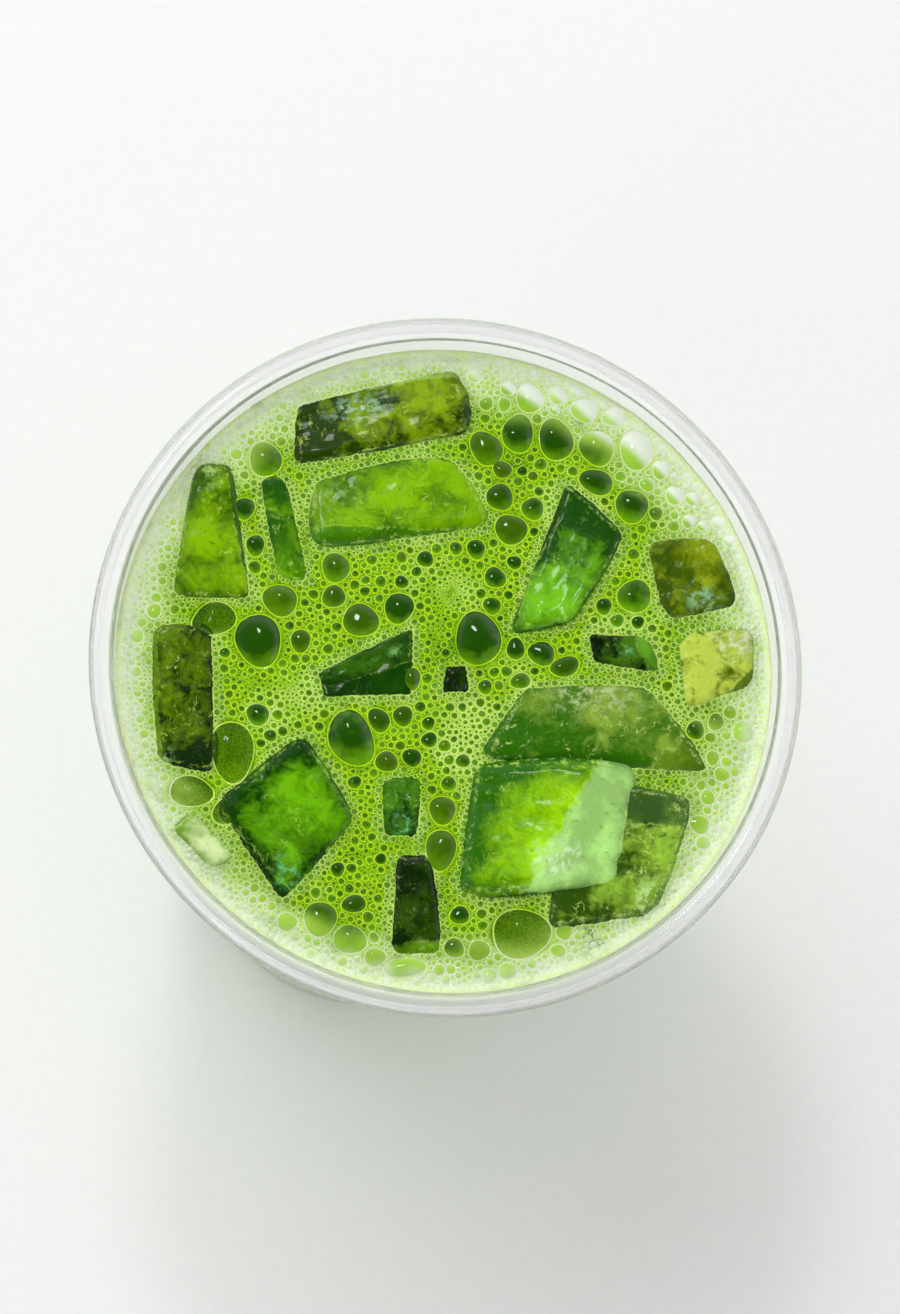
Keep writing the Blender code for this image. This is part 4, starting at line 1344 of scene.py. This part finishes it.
def tea_material():
    """Milky green tea: slow upright clouds of milk in a deeper green."""

    def links(tree):
        fill = drink()
        place = place_mm(tree)
        stretched = vector_maths(tree, "MULTIPLY", place, (1.0, 1.0, 0.35))
        warp = noise(tree, stretched, 0.05, 3.0, output="Color")
        bent = vector_maths(tree, "MULTIPLY_ADD", warp, (18.0, 18.0, 10.0), stretched)
        cloud = noise(tree, bent, 0.07, 5.0, 0.55)
        height = split(tree, place)[2]
        # More milk shows low in the tumbler.
        share = total(
            tree, between(tree, cloud, 0.35, 0.65), between(tree, height, 30.0, 110.0, 0.35, -0.15)
        )
        return {
            "Base Color": blend(tree, share, linear(fill.tea), linear(fill.tea_cloud)),
            "Roughness": between(tree, cloud, 0.3, 0.7, 0.15, 0.3),
        }

    return new_material("green_tea", links, TEA)


def foam_material():
    """Wet foam: yellow-green, paler in patches and at the wall, with a web of tiny bubbles."""

    def links(tree):
        fill = drink()
        place = place_mm(tree)
        froth = use_group(tree, froth_group(), {"Place": place, "Size": 0.62, "Edge": 0.11})
        tone, wall = stored(tree, "tone"), stored(tree, "wall")
        mottle = maths(tree, "MULTIPLY_ADD", noise(tree, place, 0.35, 4.0, 0.6), 0.5, -0.28)
        paler = total(tree, between(tree, tone, 0.0, 0.9), mottle)
        base = layered(
            tree, linear(fill.vivid),
            (paler, linear(fill.pale)),
            (wall, linear(fill.wall)),
            (stored(tree, "edge"), linear(fill.edge)),
            (between(tree, tone, -0.05, -0.7), linear(fill.dark)),
        )
        cell = blend(tree, 1.0, base, FROTH_CELL_TINT, "MULTIPLY")
        cell = blend(tree, product(tree, wall, 0.75), cell, base)
        web = layered(
            tree, linear(fill.froth),
            (maths(tree, "MAXIMUM", paler, wall), linear(fill.pale)),
            (between(tree, tone, -0.05, -0.8), linear(fill.bubble_low)),
        )
        return {
            "Base Color": blend(tree, froth["Web"], cell, web),
            "Roughness": between(tree, froth["Web"], 0.0, 1.0, 0.22, 0.4, smooth=False),
            "Normal": bumped(tree, froth["Height"], FROTH_RELIEF),
        }

    return new_material("green_foam", links, FOAM)


def bubble_material(name, rim_width, alpha=1.0):
    """The glossy skin of bubbles: a dark green middle inside a thin bright rim."""

    def links(tree):
        fill = drink()
        found = use_group(
            tree, bubble_group(),
            {
                "Cell": stored(tree, "cell", "Vector"), "Look": stored(tree, "look", "Vector"),
                "Own": stored(tree, "own", "Vector"), "Place": place_mm(tree), "Rim Width": rim_width,
                "Dark": linear(fill.bubble), "Edge": linear(fill.bubble_low),
                "Olive": linear(fill.bubble_olive), "Rim": linear(fill.web), "Pale": linear(fill.pale),
                "Wall Inside": linear(fill.bubble_wall), "Pearl": linear(fill.painted_sheen),
            },
        )
        given = {
            "Base Color": found["Color"],
            "Roughness": between(tree, found["Rim"], 0.0, 1.0, 0.05, 0.3, smooth=False),
        }
        if alpha < 1:
            given["Alpha"] = between(tree, found["Rim"], 0.0, 1.0, alpha, 1.0)
        return given

    return new_material(name, links, BUBBLE_SKIN)


def ice_material(name):
    """One block's wet ice, from its own row of paints."""
    paint = PAINTS[name]
    glint = [lit + GLINT_LEAN * (lean - lit) for lit, lean in zip(paint.lit, GLINT)]

    def links(tree):
        found = use_group(
            tree, ice_group(),
            {
                "Block": stored(tree, "block", "Vector"), "Place": place_mm(tree),
                "Deep": linear_bytes(paint.deep), "Lit": linear_bytes(paint.lit),
                "Frost": linear_bytes(paint.frost), "Face": linear_bytes(paint.face_tint),
                "Way": (*paint.way, 0), "Shift": paint.shift, "Frost At": (*paint.frost_at, 0),
                "Frost Reach": paint.frost_reach, "Face Way": (*paint.face[:2], 0),
                "Face From": paint.face[2], "Specks": paint.specks, "Streaks": paint.streaks,
                "Rime": paint.rime, "Edge Dark": bpy.context.scene.matcha_ice.edge_dark,
                "Core": paint.core, "Marble": paint.marble, "Glint": linear_bytes(glint),
            },
        )
        return {
            "Base Color": found["Color"],
            "Roughness": found["Roughness"],
            "Normal": bumped(tree, found["Height"], ICE_RELIEF),
        }

    return new_material(name, links, WET_ICE)


def finish_piece(piece, material, slot, *nodes):
    """Gives the piece its material, and lets it ride and stand for its nodes. The slot is not used."""
    piece.data.materials.append(material)
    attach(piece, "root")
    if nodes:
        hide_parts(*nodes)


class MATCHA_OT_tumbler(bpy.types.Operator):
    """Builds the clear tumbler with its rolled lip and its pushed-up base"""

    bl_idname = "matcha.tumbler"
    bl_label = "Tumbler"

    def execute(self, context):
        piece = turned("tumbler", tumbler_profile(), cup().segments, sharp=50)
        finish_piece(piece, plastic_material(), "cup", "cup")
        return {"FINISHED"}


class MATCHA_OT_tea(bpy.types.Operator):
    """Builds the tea under the foam, out into the tumbler's wall"""

    bl_idname = "matcha.tea"
    bl_label = "Tea"

    def execute(self, context):
        piece = turned("tea", tea_profile(), cup().segments, sharp=50)
        finish_piece(piece, tea_material(), "drink", "drink")
        return {"FINISHED"}


class MATCHA_OT_ice(bpy.types.Operator):
    """Builds every block of ice with its own wet, frosty finish"""

    bl_idname = "matcha.ice"
    bl_label = "Ice"

    def execute(self, context):
        for name in ICE:
            points, share, quads = ice_surface(name)
            piece = mesh_from(name + "_melting", points, [quads])
            add_value(piece, "block", share)
            finish_piece(piece, ice_material(name), "ice", name)
        return {"FINISHED"}


class MATCHA_OT_foam(bpy.types.Operator):
    """Builds the foam's body, hollowed where the ice floats"""

    bl_idname = "matcha.foam"
    bl_label = "Foam"

    def execute(self, context):
        points, faces = foam_surface()
        piece = mesh_from("foam_head", points, faces, sharp=60)
        x, y = points[:, 0] / MM, points[:, 1] / MM
        add_value(piece, "tone", foam_tone(x, y))
        add_value(piece, "wall", wall_share(x, y))
        add_value(piece, "edge", edge_share(x, y))
        finish_piece(piece, foam_material(), "foam", "foam")
        return {"FINISHED"}


class MATCHA_OT_bubbles(bpy.types.Operator):
    """Builds all bubbles on the foam, from the widest to the smallest, and the clear ones"""

    bl_idname = "matcha.bubbles"
    bl_label = "Bubbles"

    def execute(self, context):
        rows, beads = bubbles()
        size = rows[:, 2:4].max(axis=1)
        order = np.arange(len(rows))
        bead = (order >= len(WIDE_BUBBLES)) & (order < beads)
        wide, small = size >= WIDE_FROM, ~bead & (size < MIDDLE_FROM)
        film = np.array([(*row[:4], math.radians(row[4])) for row in FILM_BUBBLES])
        broad = bubble_material("wide_bubble", BROAD_LINE)
        thin = bubble_material("small_bubble", THIN_LINE)
        clear = bubble_material("clear_bubble", BROAD_LINE, alpha=FILM_COVER)
        chosen = {
            "bubbles_wide": (rows[wide], broad),
            "bubbles_middle": (rows[~wide & ~small & ~bead], broad),
            "bubbles_bead": (rows[bead], thin),
            "bubbles_small": (rows[small], thin),
            "bubbles_clear": (film, clear),
        }
        for seed, (name, kind) in enumerate(DOMES.items()):
            points, faces, cell, own, size = domes(chosen[name][0], kind, seed)
            piece = mesh_from(name, points, faces)
            colour_bubbles(piece, points, cell, own, size, kind.paler)
            finish_piece(piece, chosen[name][1], "foam")
        return {"FINISHED"}


class MATCHA_OT_stage(bpy.types.Operator):
    """Builds the pale floor, the soft lights, the surroundings and the camera"""

    bl_idname = "matcha.stage"
    bl_label = "Stage"

    def execute(self, context):
        look = context.scene.matcha_stage
        self.add_floor(look)
        for name, lamp in LAMPS.items():
            self.add_light(name, getattr(look, name + "_power"), lamp)
        self.add_sky(look)
        self.add_camera(look)
        context.scene.view_settings.view_transform = "Standard"
        return {"FINISHED"}

    def add_floor(self, look):
        """A pale table, wide enough to fill every view."""
        corners = FLOOR_HALF * np.array([(-1, -1, 0), (1, -1, 0), (1, 1, 0), (-1, 1, 0)])
        floor = mesh_from("floor", corners, [np.array([[0, 1, 2, 3]])])

        def links(tree):
            grain = between(tree, noise(tree, place_mm(tree), 0.5, 4.0), 0.3, 0.7)
            tint = linear(look.floor)
            dull = (*(0.985 * part for part in tint[:3]), 1)
            return {"Base Color": blend(tree, grain, tint, dull), "Roughness": 0.6}

        floor.data.materials.append(new_material("pale_table", links, TABLE))

    def add_light(self, name, power, lamp):
        """A round lamp that shines on the middle of the foam."""
        light = bpy.data.lights.new(name, "AREA")
        light.shape = "DISK"
        light.size = lamp.width
        light.energy = power
        made = bpy.data.objects.new(name, light)
        made.location = lamp.place
        aim = Vector((0, 0, FOAM_LEVEL)) - made.location
        made.rotation_euler = aim.to_track_quat("-Z", "Y").to_euler()
        made.visible_glossy = lamp.in_mirrors
        made.visible_transmission = lamp.through_plastic
        bpy.context.scene.collection.objects.link(made)

    def add_sky(self, look):
        """White surroundings, bright all round and dark overhead."""
        world = bpy.data.worlds.new("sky")
        world.use_nodes = True
        tree = world.node_tree
        way = make_node(tree, "ShaderNodeTexCoord").outputs["Generated"]
        height = split(tree, way)[2]
        sky = tree.nodes["Background"]
        sky.inputs["Color"].default_value = (1, 1, 1, 1)
        strength = between(tree, height, SKY_BRIGHT_TO, SKY_DARK_FROM, look.sky, look.sky * look.ceiling)
        feed(tree, sky.inputs["Strength"], strength)
        bpy.context.scene.world = world

    def add_camera(self, look):
        """The photo's camera: it leans towards one side and looks down at the lip."""
        lean = Vector((-math.sin(look.towards), math.cos(look.towards), 0))
        turn = Matrix.Rotation(look.tilt, 3, lean)
        right, up, back = turn.col
        lens = bpy.data.cameras.new("camera")
        lens.sensor_width = 36
        lens.lens = look.lens
        lens.clip_start, lens.clip_end = 0.01, 20
        made = bpy.data.objects.new("camera", lens)
        eye = Vector((0, 0, cup().height)) + back * look.distance + right * look.aim_x + up * look.aim_y
        made.matrix_world = Matrix.Translation(eye) @ turn.to_4x4()
        bpy.context.scene.collection.objects.link(made)
        bpy.context.scene.camera = made


class MATCHA_PT_panel(bpy.types.Panel):
    """Lists the settings and the steps in the 3D view's sidebar"""

    bl_idname = "MATCHA_PT_panel"
    bl_label = "Iced matcha latte"
    bl_space_type = "VIEW_3D"
    bl_region_type = "UI"
    bl_category = "Matcha"

    def draw(self, context):
        """One box for each group of settings, then a button for each step."""
        for name in SETTINGS:
            group = getattr(context.scene, name)
            box = self.layout.box()
            for key in group.__annotations__:
                box.prop(group, key)
        for step in STEPS:
            self.layout.operator(step.bl_idname)


SETTINGS = {
    "matcha_tumbler": TumblerSettings,
    "matcha_drink": DrinkSettings,
    "matcha_ice": IceSettings,
    "matcha_stage": StageSettings,
}
STEPS = (
    MATCHA_OT_stage, MATCHA_OT_tumbler, MATCHA_OT_tea, MATCHA_OT_ice, MATCHA_OT_foam, MATCHA_OT_bubbles,
)


def register():
    """Adds the settings, the steps and the panel."""
    for kind in (*SETTINGS.values(), *STEPS, MATCHA_PT_panel):
        bpy.utils.register_class(kind)
    for name, kind in SETTINGS.items():
        setattr(bpy.types.Scene, name, PointerProperty(type=kind))


def unregister():
    """Takes them away again."""
    for name in SETTINGS:
        delattr(bpy.types.Scene, name)
    for kind in reversed((*SETTINGS.values(), *STEPS, MATCHA_PT_panel)):
        bpy.utils.unregister_class(kind)


def main():
    """Registers the add-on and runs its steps."""
    register()
    for step in STEPS:
        group, name = step.bl_idname.split(".")
        getattr(getattr(bpy.ops, group), name)()


if __name__ == "__main__":
    main()
